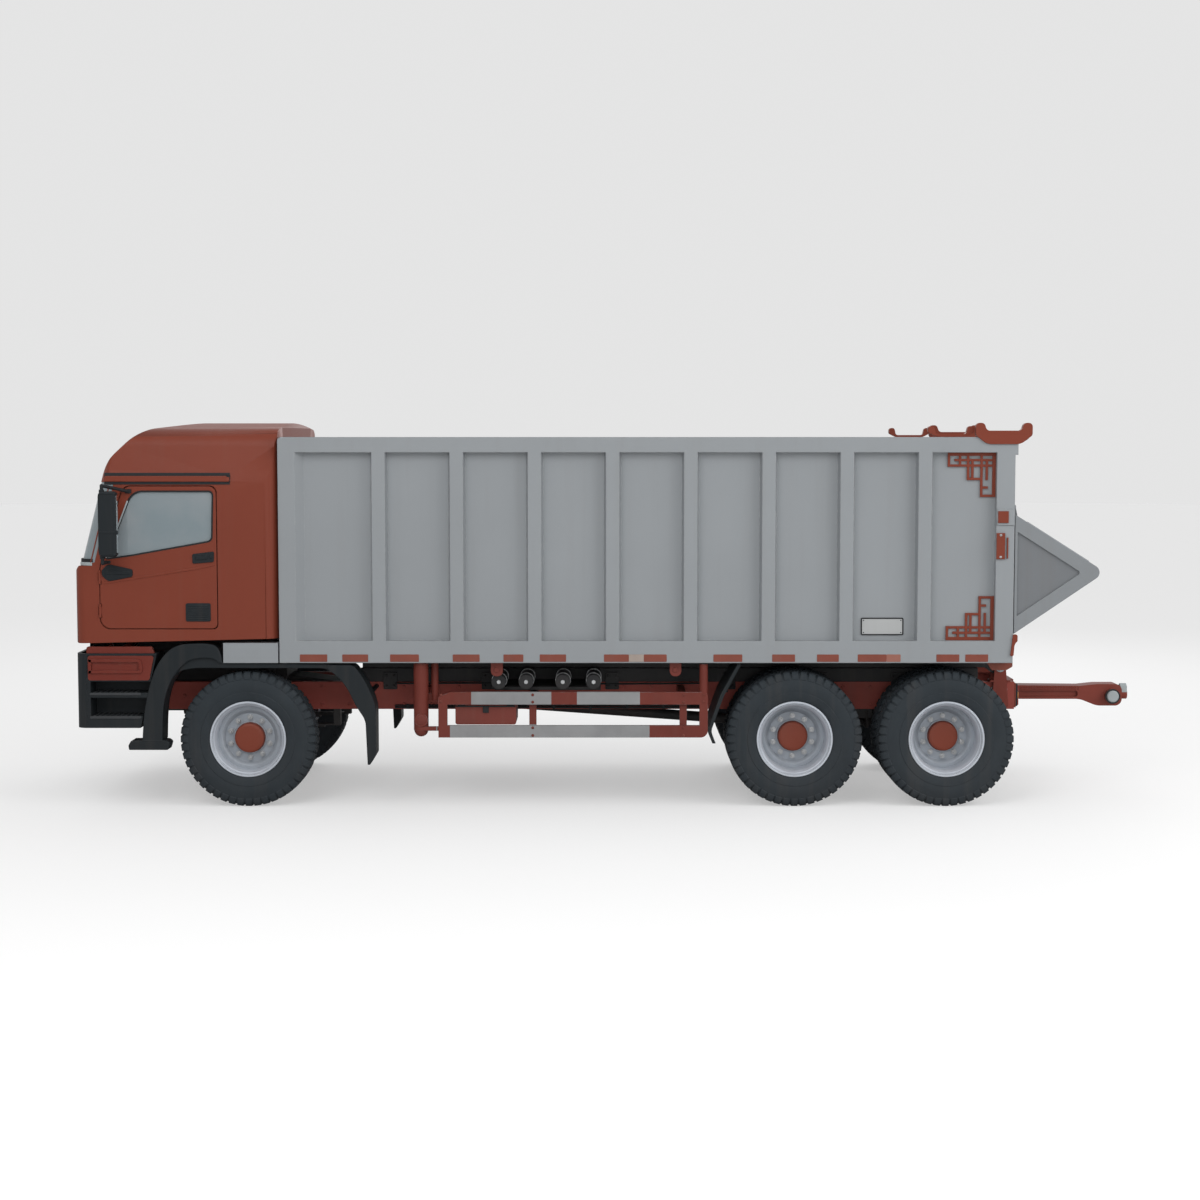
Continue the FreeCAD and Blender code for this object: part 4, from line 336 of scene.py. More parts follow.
def make_weathering_and_highlight():
    """Mottled colour; edges lighter as wear and painted highlight; rain streaks; road dust fading
    upwards.
    """
    tree, given, result = new_group(
        "weathering_and_highlight",
        [("Colour", COLOUR, (0.5, 0.5, 0.5, 1)), ("Worn Colour", COLOUR, (0.3, 0.3, 0.3, 1)),
         ("Dust Colour", COLOUR, ROAD_DUST), ("Mottle", VALUE, 0.1), ("Mottle Scale", VALUE, 2.0),
         ("Edge Wear", VALUE, 0.4), ("Edge Width", VALUE, 0.006), ("Streaks", VALUE, 0.1),
         ("Dust Top", VALUE, 1.2), ("Dust", VALUE, 0.4), ("Roughness", VALUE, 0.45),
         ("Grain Scale", VALUE, 220.0)],
        [("Colour", COLOUR), ("Roughness", VALUE), ("Height", VALUE), ("Normal", VECTOR)])
    wanted = given.outputs
    where = place_node(tree)
    surface = put(tree, "ShaderNodeNewGeometry")
    height = put(tree, "ShaderNodeSeparateXYZ", {0: where}).outputs["Z"]
    upward = put(tree, "ShaderNodeSeparateXYZ", {0: surface.outputs["Normal"]}).outputs["Z"]

    broad = noise_node(tree, where, wanted["Mottle Scale"], 5.0)
    fine = noise_node(tree, where, 38.0, 4.0)
    grain = noise_node(tree, where, wanted["Grain Scale"], 2.0)

    drift = math_node(tree, "MULTIPLY", math_node(tree, "SUBTRACT", broad, 0.5), wanted["Mottle"])
    level = math_node(tree, "ADD", math_node(tree, "MULTIPLY", drift, 2.4), 1.0)
    mottled = put(tree, "ShaderNodeVectorMath", {0: wanted["Colour"], "Scale": level},
                  operation="SCALE").outputs[0]

    drawn_out = put(tree, "ShaderNodeMapping", {"Vector": where, "Scale": (11.0, 11.0, 0.55)})
    runs = ramp_node(tree, noise_node(tree, drawn_out.outputs[0], 1.0, 4.0), 0.52, 0.78)
    runs = math_node(tree, "MULTIPLY", runs, wanted["Streaks"], clamp=True)
    streaked = blend_node(tree, runs, mottled, wanted["Dust Colour"])

    # Rounded edges take the worn colour: partly wear, partly a painted highlight where edges catch
    # the light.
    rounded = put(tree, "ShaderNodeBevel", {"Radius": wanted["Edge Width"]}, samples=4).outputs[0]
    flatness = put(tree, "ShaderNodeVectorMath", {0: rounded, 1: surface.outputs["Normal"]},
                   operation="DOT_PRODUCT").outputs["Value"]
    edge_wear_and_highlight = ramp_node(tree, flatness, 0.985, 0.82)
    broken = ramp_node(tree, noise_node(tree, where, 17.0, 5.0), 0.46, 0.6)
    edge_wear_and_highlight = math_node(tree, "MULTIPLY", edge_wear_and_highlight, math_node(tree, "MULTIPLY", broken, wanted["Edge Wear"]),
                     clamp=True)
    worn_and_highlit = blend_node(tree, edge_wear_and_highlight, streaked, wanted["Worn Colour"])

    fade = put(tree, "ShaderNodeMapRange",
               {0: height, 1: wanted["Dust Top"], 2: 0.0, 3: 0.0, 4: 1.0}).outputs[0]
    patchy = ramp_node(tree, noise_node(tree, where, 3.2, 6.0), 0.32, 0.7, 0.25, 1.0)
    settled = math_node(tree, "MULTIPLY", ramp_node(tree, upward, 0.75, 1.0), 0.45)
    dust = math_node(tree, "MULTIPLY", math_node(tree, "MAXIMUM", fade, settled), patchy)
    dust = math_node(tree, "MULTIPLY", dust, wanted["Dust"], clamp=True)
    dusty = blend_node(tree, dust, worn_and_highlit, wanted["Dust Colour"])

    rough = math_node(tree, "ADD", wanted["Roughness"], math_node(tree, "MULTIPLY", dust, 0.3))
    spread = math_node(tree, "MULTIPLY", math_node(tree, "SUBTRACT", fine, 0.5), 0.16)
    bumps = math_node(tree, "ADD", math_node(tree, "MULTIPLY", fine, 0.5),
                      math_node(tree, "MULTIPLY", grain, 0.5))
    tree.links.new(dusty, result.inputs["Colour"])
    tree.links.new(math_node(tree, "ADD", rough, spread, clamp=True), result.inputs["Roughness"])
    tree.links.new(bumps, result.inputs["Height"])
    tree.links.new(rounded, result.inputs["Normal"])
    return tree


def make_weave():
    """Crossed threads of seat cloth."""
    tree, given, result = new_group(
        "cloth_weave", [("Threads", VALUE, 900.0), ("Colour", COLOUR, (0.1, 0.1, 0.1, 1))],
        [("Colour", COLOUR), ("Height", VALUE)])
    where = place_node(tree)
    waves = []
    for direction in ("X", "Y", "Z"):
        waves.append(put(tree, "ShaderNodeTexWave",
                         {"Vector": where, "Scale": given.outputs["Threads"], "Distortion": 0.4},
                         bands_direction=direction).outputs[1])
    woven = math_node(tree, "MAXIMUM", waves[0], math_node(tree, "MULTIPLY", waves[1], waves[2]))
    level = ramp_node(tree, woven, 0.0, 1.0, 0.72, 1.12)
    shade = put(tree, "ShaderNodeVectorMath", {0: given.outputs["Colour"], "Scale": level},
                operation="SCALE").outputs[0]
    tree.links.new(shade, result.inputs["Colour"])
    tree.links.new(woven, result.inputs["Height"])
    return tree


WEATHERING_AND_HIGHLIGHT = make_weathering_and_highlight()
WEAVE = make_weave()

SHADER_SOCKETS = {
    "base": "Base Color", "metallic": "Metallic", "roughness": "Roughness", "ior": "IOR",
    "specular": "Specular IOR Level", "coat": "Coat Weight", "coat_roughness": "Coat Roughness",
    "transmission": "Transmission Weight", "sheen": "Sheen Weight", "glow": "Emission Color",
}


def new_material(name, **constants):
    """Material, its node tree and its shader, with constants on the shader's own sockets."""
    material = bpy.data.materials.new(name)
    material.use_nodes = True
    shader = material.node_tree.nodes["Principled BSDF"]
    for key, value in constants.items():
        shader.inputs[SHADER_SOCKETS[key]].default_value = value
    return material, material.node_tree, shader


def finish_of(name, colour, worn_and_highlit, roughness, metallic=0.0, coat=0.0, specular=0.5, bump=0.15,
              depth=0.0006, **weather_and_highlight):
    """Weathered material: the group gives colour, roughness and bump, the shader the rest."""
    material, tree, shader = new_material(name, metallic=metallic, coat=coat, coat_roughness=0.25,
                                          specular=specular)
    given = {"Colour": (*colour, 1.0), "Worn Colour": (*worn_and_highlit, 1.0), "Roughness": roughness}
    given.update({key.replace("_", " ").title(): value for key, value in weather_and_highlight.items()})
    weathered_and_highlit = put(tree, "ShaderNodeGroup", given, node_tree=WEATHERING_AND_HIGHLIGHT)
    relief = put(tree, "ShaderNodeBump",
                 {"Strength": bump, "Distance": depth, "Height": weathered_and_highlit.outputs["Height"],
                  "Normal": weathered_and_highlit.outputs["Normal"]})
    tree.links.new(weathered_and_highlit.outputs["Colour"], shader.inputs["Base Color"])
    tree.links.new(weathered_and_highlit.outputs["Roughness"], shader.inputs["Roughness"])
    tree.links.new(relief.outputs["Normal"], shader.inputs["Normal"])
    return material


def finish_by_place(name, colour, worn_and_highlit, roughness, **weather_and_highlight):
    """Finish painted by where a point lies: material, tree, its X, Y, Z and the colour's socket."""
    material = finish_of(name, colour, worn_and_highlit, roughness, **weather_and_highlight)
    tree = material.node_tree
    weathered_and_highlit = next(n for n in tree.nodes if n.type == "GROUP")
    where = place_node(tree)
    split = put(tree, "ShaderNodeSeparateXYZ", {0: where})
    return material, tree, split.outputs, weathered_and_highlit.inputs["Colour"]


# Each *_WORN colour goes on rounded edges, both as wear and as a painted highlight.
TERRACOTTA = (0.196, 0.041, 0.022)
TERRACOTTA_WORN = (0.31, 0.105, 0.075)
STRIPE_RED = (0.205, 0.052, 0.033)
CHASSIS_RED = (0.165, 0.036, 0.027)
CHASSIS_WORN = (0.26, 0.095, 0.07)
BODY_GREY = (0.272, 0.290, 0.305)
BODY_WORN = (0.39, 0.40, 0.405)
PLASTIC = (0.014, 0.018, 0.021)
PLASTIC_WORN = (0.040, 0.044, 0.048)
RUBBER = (0.024, 0.031, 0.037)
RIM_SILVER_LIT = (0.52, 0.56, 0.62)

cab_red = finish_of("cab_red", TERRACOTTA, TERRACOTTA_WORN, 0.42, specular=0.2, mottle=0.08,
                    mottle_scale=1.6, edge_wear=0.5, streaks=0.05, dust_top=1.6, dust=0.10)
stripe_red = finish_of("stripe_red", STRIPE_RED, BODY_WORN, 0.5, specular=0.3, mottle=0.2,
                       mottle_scale=4.0, edge_wear=0.6, edge_width=0.003, dust_top=1.4, dust=0.12,
                       streaks=0.12)
faded_red = finish_of("faded_red", (0.29, 0.115, 0.085), BODY_WORN, 0.55, specular=0.3,
                      mottle=0.2, mottle_scale=5.0, edge_wear=0.6, edge_width=0.003, dust=0.15)
panel_red = finish_of("panel_red", (0.15, 0.025, 0.016), TERRACOTTA_WORN, 0.38, specular=0.22,
                      mottle=0.12, edge_wear=0.8, dust_top=1.3, dust=0.07)
chassis_red = finish_of("chassis_red", CHASSIS_RED, CHASSIS_WORN, 0.48, specular=0.2, mottle=0.22,
                        mottle_scale=3.0, edge_wear=0.75, dust_top=1.1, dust=0.10, streaks=0.10)
# Painted light: a lighter copy of chassis red for the frame, axle and bolts, which lie in the body's
# shade.
frame_red_painted_light = finish_of("frame_red_painted_light", (0.32, 0.068, 0.052), CHASSIS_WORN, 0.5, specular=0.2,
                      mottle=0.25, mottle_scale=3.0, edge_wear=0.75, dust_top=1.1, dust=0.12,
                      streaks=0.12)
tow_red = finish_of("tow_red", (0.205, 0.042, 0.029), CHASSIS_WORN, 0.45, specular=0.2,
                    mottle=0.16, mottle_scale=4.0, edge_wear=0.7, dust_top=1.1, dust=0.08)
body_grey = finish_of("body_grey", BODY_GREY, BODY_WORN, 0.46, specular=0.4, mottle=0.055,
                      mottle_scale=0.9, edge_wear=0.75, edge_width=0.012, streaks=0.10,
                      dust_top=1.5, dust=0.10, dust_colour=(0.20, 0.19, 0.175, 1))
plate_grey = finish_of("plate_grey", (0.40, 0.41, 0.41), BODY_WORN, 0.4, mottle=0.06,
                       edge_wear=0.3, edge_width=0.002, dust=0.2)
beige = finish_of("beige", (0.33, 0.27, 0.235), BODY_WORN, 0.5, mottle=0.15, mottle_scale=5.0)
dark_steel = finish_of("dark_steel", (0.017, 0.018, 0.020), (0.07, 0.06, 0.055), 0.55,
                       specular=0.3, mottle=0.2, mottle_scale=4.0, edge_wear=0.6, dust_top=1.3,
                       dust=0.26)
dark_plastic = finish_of("dark_plastic", PLASTIC, PLASTIC_WORN, 0.5, specular=0.18, bump=0.3,
                         mottle=0.12, mottle_scale=3.0, edge_wear=0.5, edge_width=0.008,
                         dust_top=1.3, dust=0.06, grain_scale=420.0)
# A lighter copy of the dark plastic, as a painted highlight on the step lips; the treads use it too.
pale_plastic_and_highlight = finish_of("pale_plastic_and_highlight", (0.038, 0.042, 0.046), (0.10, 0.10, 0.105), 0.5,
                         specular=0.25, bump=0.3, mottle=0.12, edge_wear=0.5, dust=0.12,
                         grain_scale=420.0)
light_trim = finish_of("light_trim", (0.36, 0.40, 0.41), (0.2, 0.2, 0.2), 0.4, mottle=0.1,
                       mottle_scale=8.0, edge_wear=0.4, edge_width=0.003, dust=0.15)
rubber = finish_of("rubber", RUBBER, (0.055, 0.062, 0.070), 0.66, specular=0.2, bump=0.35,
                   depth=0.0008, mottle=0.18, mottle_scale=5.0, edge_wear=0.55, edge_width=0.004,
                   dust_top=1.15, dust=0.06, grain_scale=300.0)
gasket = finish_of("gasket", (0.011, 0.012, 0.014), (0.025, 0.025, 0.025), 0.6, specular=0.3,
                   mottle=0.1, edge_wear=0.2, edge_width=0.002, dust=0.08)
# Lit and shaded copies of one silver: a painted highlight on the rim, painted shade in the dished
# disc.
lit_silver_rim = finish_of("lit_silver_rim", RIM_SILVER_LIT, (0.22, 0.235, 0.26), 0.42, metallic=0.25, mottle=0.12,
                       mottle_scale=9.0, edge_wear=0.4, edge_width=0.004, dust_top=1.1, dust=0.18)
shaded_silver_disc = finish_of("shaded_silver_disc", (0.31, 0.34, 0.38), (0.19, 0.205, 0.23), 0.45,
                        metallic=0.2, mottle=0.16, mottle_scale=8.0, edge_wear=0.5,
                        edge_width=0.004, dust_top=1.1, dust=0.12)
bright_steel = finish_of("bright_steel", (0.42, 0.43, 0.44), (0.3, 0.3, 0.3), 0.3, metallic=0.8,
                         mottle=0.12, mottle_scale=12.0, edge_wear=0.3, edge_width=0.003, dust=0.2)
chrome_rod = finish_of("chrome_rod", (0.55, 0.56, 0.58), (0.4, 0.4, 0.4), 0.14, metallic=1.0,
                       mottle=0.05, edge_wear=0.1, dust_top=1.0, dust=0.05)
silver_mirror = finish_of("silver_mirror", (0.62, 0.66, 0.68), (0.5, 0.5, 0.5), 0.06,
                          metallic=1.0, mottle=0.02, edge_wear=0.0, dust=0.02, bump=0.02)
amber_lens = finish_of("amber_lens", (0.45, 0.16, 0.02), (0.5, 0.2, 0.05), 0.18, coat=0.6,
                       mottle=0.05, edge_wear=0.1, dust=0.1)
red_lens = finish_of("red_lens", (0.30, 0.012, 0.010), (0.4, 0.05, 0.05), 0.18, coat=0.6,
                     mottle=0.05, edge_wear=0.1, dust=0.1)


def make_glass_painted_reflection():
    """Tinted glass with a film of dust; its pale grey-blue is a painted reflection, seen from
    outside.
    """
    material, tree, shader = new_material("cab_glass_painted_reflection", transmission=0.16, ior=1.45)
    where = place_node(tree)
    film = ramp_node(tree, noise_node(tree, where, 2.2, 5.0), 0.35, 0.7)
    tint = blend_node(tree, film, (0.255, 0.31, 0.335, 1), (0.31, 0.345, 0.365, 1))
    tree.links.new(tint, shader.inputs["Base Color"])
    tree.links.new(ramp_node(tree, film, 0.0, 1.0, 0.05, 0.14), shader.inputs["Roughness"])
    return material


def make_lens():
    """Moulded clear lens with fine flutes."""
    material, tree, shader = new_material("clear_lens", transmission=0.88, coat=0.5)
    where = place_node(tree)
    flutes = put(tree, "ShaderNodeTexWave", {"Vector": where, "Scale": 14.0, "Distortion": 0.0},
                 bands_direction="Y").outputs[1]
    cloud = noise_node(tree, where, 6.0, 4.0)
    tint = blend_node(tree, cloud, (0.78, 0.81, 0.83, 1), (0.86, 0.88, 0.89, 1))
    relief = put(tree, "ShaderNodeBump", {"Strength": 0.3, "Distance": 0.001, "Height": flutes})
    tree.links.new(tint, shader.inputs["Base Color"])
    tree.links.new(relief.outputs["Normal"], shader.inputs["Normal"])
    tree.links.new(ramp_node(tree, cloud, 0.3, 0.7, 0.06, 0.16), shader.inputs["Roughness"])
    return material


def make_cloth():
    material, tree, shader = new_material("seat_cloth", roughness=0.9, sheen=0.25)
    woven = put(tree, "ShaderNodeGroup", {"Colour": (0.055, 0.057, 0.066, 1)}, node_tree=WEAVE)
    relief = put(tree, "ShaderNodeBump",
                 {"Strength": 0.5, "Distance": 0.0006, "Height": woven.outputs["Height"]})
    tree.links.new(woven.outputs["Colour"], shader.inputs["Base Color"])
    tree.links.new(relief.outputs["Normal"], shader.inputs["Normal"])
    return material


# Side guard marks, front to rear stations of the red lengths
GUARD_FRONT, GUARD_REAR = 3020.0, 5310.0
GUARD_TOP_REDS = [(3020, 3312), (3985, 4194), (4727, 5310)]
GUARD_LOW_REDS = [(3020, 3130), (4807, 5310)]
GUARD_RED = (0.150, 0.031, 0.022)
GUARD_WHITE = (0.26, 0.263, 0.268)

# Where a painted colour changes, in metres: heights, and distances from the lorry's middle
GUARD_MIDDLE_Z, GUARD_GAP_HALF, GUARD_POST_Y = 0.775, 0.083, 1.15
FLOOR_EDGE_Y, FLOOR_FOOT_Z = 1.104, 1.381
GATE_PANEL_Y = 1.237
# Painted shade under the floor and on the inboard brackets.
UNDER_FLOOR_SHADE = (0.015, 0.015, 0.016)
# Painted shade on the gate's recessed panels.
GATE_PANEL_SHADE = (0.165, 0.175, 0.186)
GATE_FLANK = tuple(0.8 * tint for tint in BODY_GREY)


def make_guard_paint():
    """White guard rails with red ends and marks, by their place along the lorry."""
    material, tree, at, colour = finish_by_place(
        "guard_paint", GUARD_WHITE, BODY_WORN, 0.48, specular=0.2, mottle=0.2, mottle_scale=4.0,
        edge_wear=0.6, dust_top=1.0, dust=0.08, streaks=0.1)
    front, rear = (GUARD_FRONT - MID_STATION) / 1000, (GUARD_REAR - MID_STATION) / 1000
    along = ramp_node(tree, at["X"], front, rear)
    bands = []
    for marks in (GUARD_TOP_REDS, GUARD_LOW_REDS):
        ramp = tree.nodes.new("ShaderNodeValToRGB")
        ramp.color_ramp.interpolation = "CONSTANT"
        stops = [(0.0, 0.0)]
        for start, end in marks:
            stops += [((start - GUARD_FRONT) / (GUARD_REAR - GUARD_FRONT), 1.0),
                      ((end - GUARD_FRONT) / (GUARD_REAR - GUARD_FRONT), 0.0)]
        stops = [(max(0.0, share), level) for share, level in stops if share < 1.0]
        for i, (share, level) in enumerate(stops[1:]):
            stop = ramp.color_ramp.elements[1] if i == 0 else ramp.color_ramp.elements.new(share)
            stop.position = share
            stop.color = (level, level, level, 1)
        ramp.color_ramp.elements[0].color = (stops[0][1],) * 3 + (1,)
        tree.links.new(along, ramp.inputs[0])
        bands.append(ramp.outputs[0])
    upper = math_node(tree, "GREATER_THAN", at["Z"], GUARD_MIDDLE_Z)
    between = math_node(tree, "COMPARE", at["Z"], GUARD_MIDDLE_Z)
    between.node.inputs[2].default_value = GUARD_GAP_HALF
    band = blend_node(tree, upper, bands[1], bands[0])
    forward = math_node(tree, "LESS_THAN", at["X"], front)
    inboard = within_node(tree, at["Y"], GUARD_POST_Y)
    red = math_node(tree, "MAXIMUM", band, math_node(tree, "MAXIMUM", forward, inboard))
    red = math_node(tree, "MAXIMUM", red, between, clamp=True)
    tree.links.new(blend_node(tree, red, (*GUARD_WHITE, 1), (*GUARD_RED, 1)), colour)
    return material


def make_underside_shade():
    """Body grey outside, near-black painted shade under the floor and on the inboard brackets."""
    material, tree, at, colour = finish_by_place(
        "body_underside", BODY_GREY, BODY_WORN, 0.5, specular=0.3, mottle=0.1, edge_wear=0.4,
        dust_top=1.3, dust=0.2)
    inboard = within_node(tree, at["Y"], FLOOR_EDGE_Y)
    under = math_node(tree, "LESS_THAN", at["Z"], FLOOR_FOOT_Z)
    in_shade = math_node(tree, "MULTIPLY", inboard, under)
    tree.links.new(blend_node(tree, in_shade, (*BODY_GREY, 1), (*UNDER_FLOOR_SHADE, 1)), colour)
    return material


def make_gate_paint_and_shade():
    """Grey on the gate's two flanks, and a darker grey as painted shade on the panels between them.
    """
    material, tree, at, colour = finish_by_place(
        "gate_paint_and_shade", BODY_GREY, BODY_WORN, 0.5, specular=0.3, mottle=0.08, edge_wear=0.5,
        streaks=0.12, dust_top=1.5, dust=0.1)
    shaded_panel = within_node(tree, at["Y"], GATE_PANEL_Y)
    tree.links.new(blend_node(tree, shaded_panel, (*GATE_FLANK, 1), (*GATE_PANEL_SHADE, 1)), colour)
    return material


glass_painted_reflection = make_glass_painted_reflection()
clear_lens = make_lens()
seat_cloth = make_cloth()
guard_paint = make_guard_paint()
body_underside = make_underside_shade()
gate_paint_and_shade = make_gate_paint_and_shade()

NODE_FINISHES = [
    (cab_red, ["cab_shell", "door_left", "door_right", "finials", "fretwork", "tail_latches"]),
    (panel_red, ["step_panels"]),
    (frame_red_painted_light, ["chassis_frame", "front_axle", "knuckle_left", "knuckle_right", "tie_rod"]),
    (chassis_red, ["tool_boxes"]),
    (tow_red, ["tow_bar", "hinge_brackets", "tail_beams"]),
    (body_grey, ["body_side_left", "body_side_right", "body_front_wall", "body_rear_head"]),
    (gate_paint_and_shade, ["tailgate"]),
    (body_underside, ["cab_sills", "body_floor"]),
    (dark_steel, ["sub_frame", "rear_axles", "leaf_springs", "drive_train", "hoist_barrel",
                  "air_tanks"]),
    (dark_plastic, ["bumper", "side_steps", "front_mudguards", "rear_mudguards", "grille",
                    "door_fittings_left", "door_fittings_right", "mirror_left", "mirror_right",
                    "dashboard", "steering_wheel"]),
    (guard_paint, ["side_guards"]),
    (chrome_rod, ["hoist_rod"]),
    (glass_painted_reflection, ["cab_glass", "door_glass_left", "door_glass_right"]),
    (clear_lens, ["headlamps"]),
    (red_lens, ["tail_lamps"]),
    (seat_cloth, ["seats"]),
    (rubber, [name for name in NODES if "tyre" in name]),
    (lit_silver_rim, [name for name in NODES if "rim" in name]),
]


def paint_nodes():
    for material, names in NODE_FINISHES:
        for name in names:
            mesh = NODES[name].data
            mesh.materials.clear()
            mesh.materials.append(material)


paint_nodes()


# Wheels

AXLE_Z = 570.0
TYRE_W = 290.0
FACE_Y = -1235.0
TWIN_Y = -909.0
LUG_COUNT = 48
LUG_HALF = 27.0
FRONT_X, MIDDLE_X, REAR_X = 1440.0, 6028.0, 7302.0
FRONT_DISC, REAR_DISC = 150.0, 250.0
NUT_COUNT = 10
NUT_CIRCLE_R = 172.0


def tyre_profile(face):
    """Half section from the bead round the sidewall to the tread's groove floor, then its image."""
    half = [(24, 297), (14, 303), (23, 319), (15, 330), (9, 345), (4, 372), (2, 395), (5, 398),
            (1, 425), (2, 455), (7, 488), (13, 512), (20, 530), (30, 548), (48, 558), (90, 561),
            (118, 561)]
    near = [(face + y, r) for y, r in half]
    far = [(face + TYRE_W - y, r) for y, r in reversed(half)]
    return near + far


def lug(bm, section, turn):
    """One tread block at the top of the tyre, its section drawn across the lorry."""
    profile = [(y, AXLE_Z + radius) for y, radius in section]
    verts = plate(bm, profile, "yz", FRONT_X - LUG_HALF, FRONT_X + LUG_HALF)
    swing(bm, verts, (FRONT_X, 0, AXLE_Z), turn)


def tread_sector(face):
    """Blocks of one pitch: a shoulder lug each side and two centre blocks, staggered."""
    bm = bmesh.new()
    pitch = 360.0 / LUG_COUNT
    shoulder = [(12, 500), (7, 506), (11, 536), (21, 556), (35, 568), (92, 570), (92, 550), (40, 540)]
    centre = [(104, 550), (104, 570), (138, 570), (138, 550)]
    for section, turn in ((shoulder, 0), (centre, 0.3)):
        lug(bm, [(face + y, r) for y, r in section], pitch * turn)
    for section, turn in ((shoulder, 0.5), (centre, 0.8)):
        lug(bm, [(face + TYRE_W - y, r) for y, r in section], pitch * turn)
    soften(bm, 2.5, segments=1)
    return bm


def add_tyre(target, centre_x, face):
    """Carcass and tread of one tyre, joined into the target mesh."""
    tread = tread_sector(face)
    repeated_round(tread, (FRONT_X, AXLE_Z), LUG_COUNT)
    bmesh.ops.translate(tread, verts=tread.verts, vec=(centre_x - FRONT_X, 0, 0))
    turned(tread, tyre_profile(face), (centre_x, AXLE_Z), LUG_COUNT * 2)
    held = bpy.data.meshes.new("tread_being_joined")
    tread.to_mesh(held)
    tread.free()
    target.from_mesh(held)
    bpy.data.meshes.remove(held)


def add_rim(bm, centre_x, face):
    """Barrel with rolled lips and the gutter of its lock ring."""
    out, back = face + 14, face + TYRE_W - 14
    profile = [
        (out + 8, 296), (out + 8, 318), (out + 3, 320), (out - 1, 316), (out, 304), (out + 6, 297),
        (out + 22, 293), (out + 26, 286), (out + 40, 283), (out + 48, 276), (out + 60, 272),
        (out + 92, 268), (back - 60, 268), (back - 40, 283), (back - 22, 288), (back, 297),
        (back + 1, 318), (back - 8, 318), (back - 8, 296), (back - 30, 295), (out + 40, 295),
    ]
    turned(bm, profile, (centre_x, AXLE_Z), 96)


def add_disc(bm, centre_x, disc):
    """Dished disc with its rolled edge and its hub flange."""
    profile = [
        (disc - 8, 128), (disc - 8, 139), (disc - 3, 143), (disc - 3, 193), (disc, 204),
        (disc - 4, 212), (disc - 20, 222), (disc - 30, 238), (disc - 30, 272), (disc - 14, 273),
        (disc - 14, 240), (disc - 4, 226), (disc + 14, 214), (disc + 16, 150), (disc + 86, 148),
        (disc + 86, 60), (disc - 4, 60),
    ]
    turned(bm, profile, (centre_x, AXLE_Z), 80)


def add_nuts(bm, centre_x, disc):
    """Washers, nuts and stud ends."""
    z = AXLE_Z + NUT_CIRCLE_R
    rod(bm, (centre_x, disc - 1, z), (centre_x, disc - 7, z), 24, sides=20)
    rod(bm, (centre_x, disc - 7, z), (centre_x, disc - 30, z), 21, sides=6)
    rod(bm, (centre_x, disc - 30, z), (centre_x, disc - 44, z), 11, sides=12, end_radius=9)
    repeated_round(bm, (centre_x, AXLE_Z), NUT_COUNT)


def add_hub_cap(bm, centre_x, disc):
    """Domed cap with a stepped edge."""
    top = disc - 62
    profile = [(top, 0), (top, 96), (top + 3, 112), (top + 9, 121), (top + 18, 125), (top + 40, 126),
               (top + 46, 129), (top + 60, 129), (top + 60, 60), (top + 60, 0)]
    turned(bm, profile, (centre_x, AXLE_Z), 64, closed=False)


def add_tyres(bm, centre_x, faces):
    for face in faces:
        add_tyre(bm, centre_x, face)


def add_barrels(bm, centre_x, faces):
    """Each tyre's barrel, and the spacer ring between the two of a pair."""
    for face in faces:
        add_rim(bm, centre_x, face)
    if len(faces) > 1:
        start, end = faces[0] + 276, faces[1] + 14
        turned(bm, [(start, 272), (start, 282), (end, 282), (end, 272)], (centre_x, AXLE_Z), 64)


def make_wheels(side_name, title, centre_x, faces, disc_depth, tyre_node, rim_node, body):
    """The wheels at one end of an axle."""
    disc = faces[0] + disc_depth
    for part, material, slot, node, add, place in (
            ("tyre_tread", rubber, "tyre", tyre_node, add_tyres, faces),
            ("rim_barrel", lit_silver_rim, "rim", rim_node, add_barrels, faces),
            ("rim_disc", shaded_silver_disc, "rim", rim_node, add_disc, disc),
            ("wheel_nuts", bright_steel, "rim", rim_node, add_nuts, disc),
            ("hub_cap", cab_red, "cab_paint", rim_node, add_hub_cap, disc)):
        on_side(side_name, f"{title}_{part}", material, f"{body}_SIDE",
                lambda bm: add(bm, centre_x, place), [f"{node}_SIDE"])


for side_name in SIDES:
    make_wheels(side_name, "front", FRONT_X, [FACE_Y], FRONT_DISC, "front_tyre", "front_rim",
                "front_wheel")
    for title, centre_x in (("middle", MIDDLE_X), ("rear", REAR_X)):
        make_wheels(side_name, title, centre_x, [FACE_Y, TWIN_Y], REAR_DISC, f"{title}_tyres",
                    f"{title}_rims", f"{title}_wheels")


# Cab: gutter, door seals, screen

SCREEN_LEAN = 188.0 / 731.0
SCREEN_FOOT_Z = 2029.0


def screen_x(y, z):
    """Station of the screen's outer face, bowed forward at its middle."""
    return 50 - 12 * (1 - (y / 1130) ** 2) + (z - SCREEN_FOOT_Z) * SCREEN_LEAN


def door_edge(grow):
    front, rear, foot, top = 231 - grow, 1203 + grow, 1507 - grow, 2690 + grow
    return [(front, foot, 90), (rear, foot, 40), (rear, top, 60), (front + 205, top, 67),
            (front + 19, 2080, 9), (front, 1990, 21)]


def window_edge(shrink):
    front, rear, foot, top = 272 + shrink, 1184 - shrink, 2079 + shrink, 2656 - shrink
    return [(front, foot, 27), (front + 228, foot + 32, 4), (rear - 12, foot + 152, 40),
            (rear, top, 41), (front + 230, top, 88)]


# The nose's rounded upper edge, and the area in square metres above which a face is a flat panel
NOSE_TRIM = [(-2, 1880), (0, 1925), (5, 1958), (14, 1984), (27, 2005), (42, 2021), (52, 2032),
             (-60, 2034)]
FLAT_PANEL_AREA = 0.12


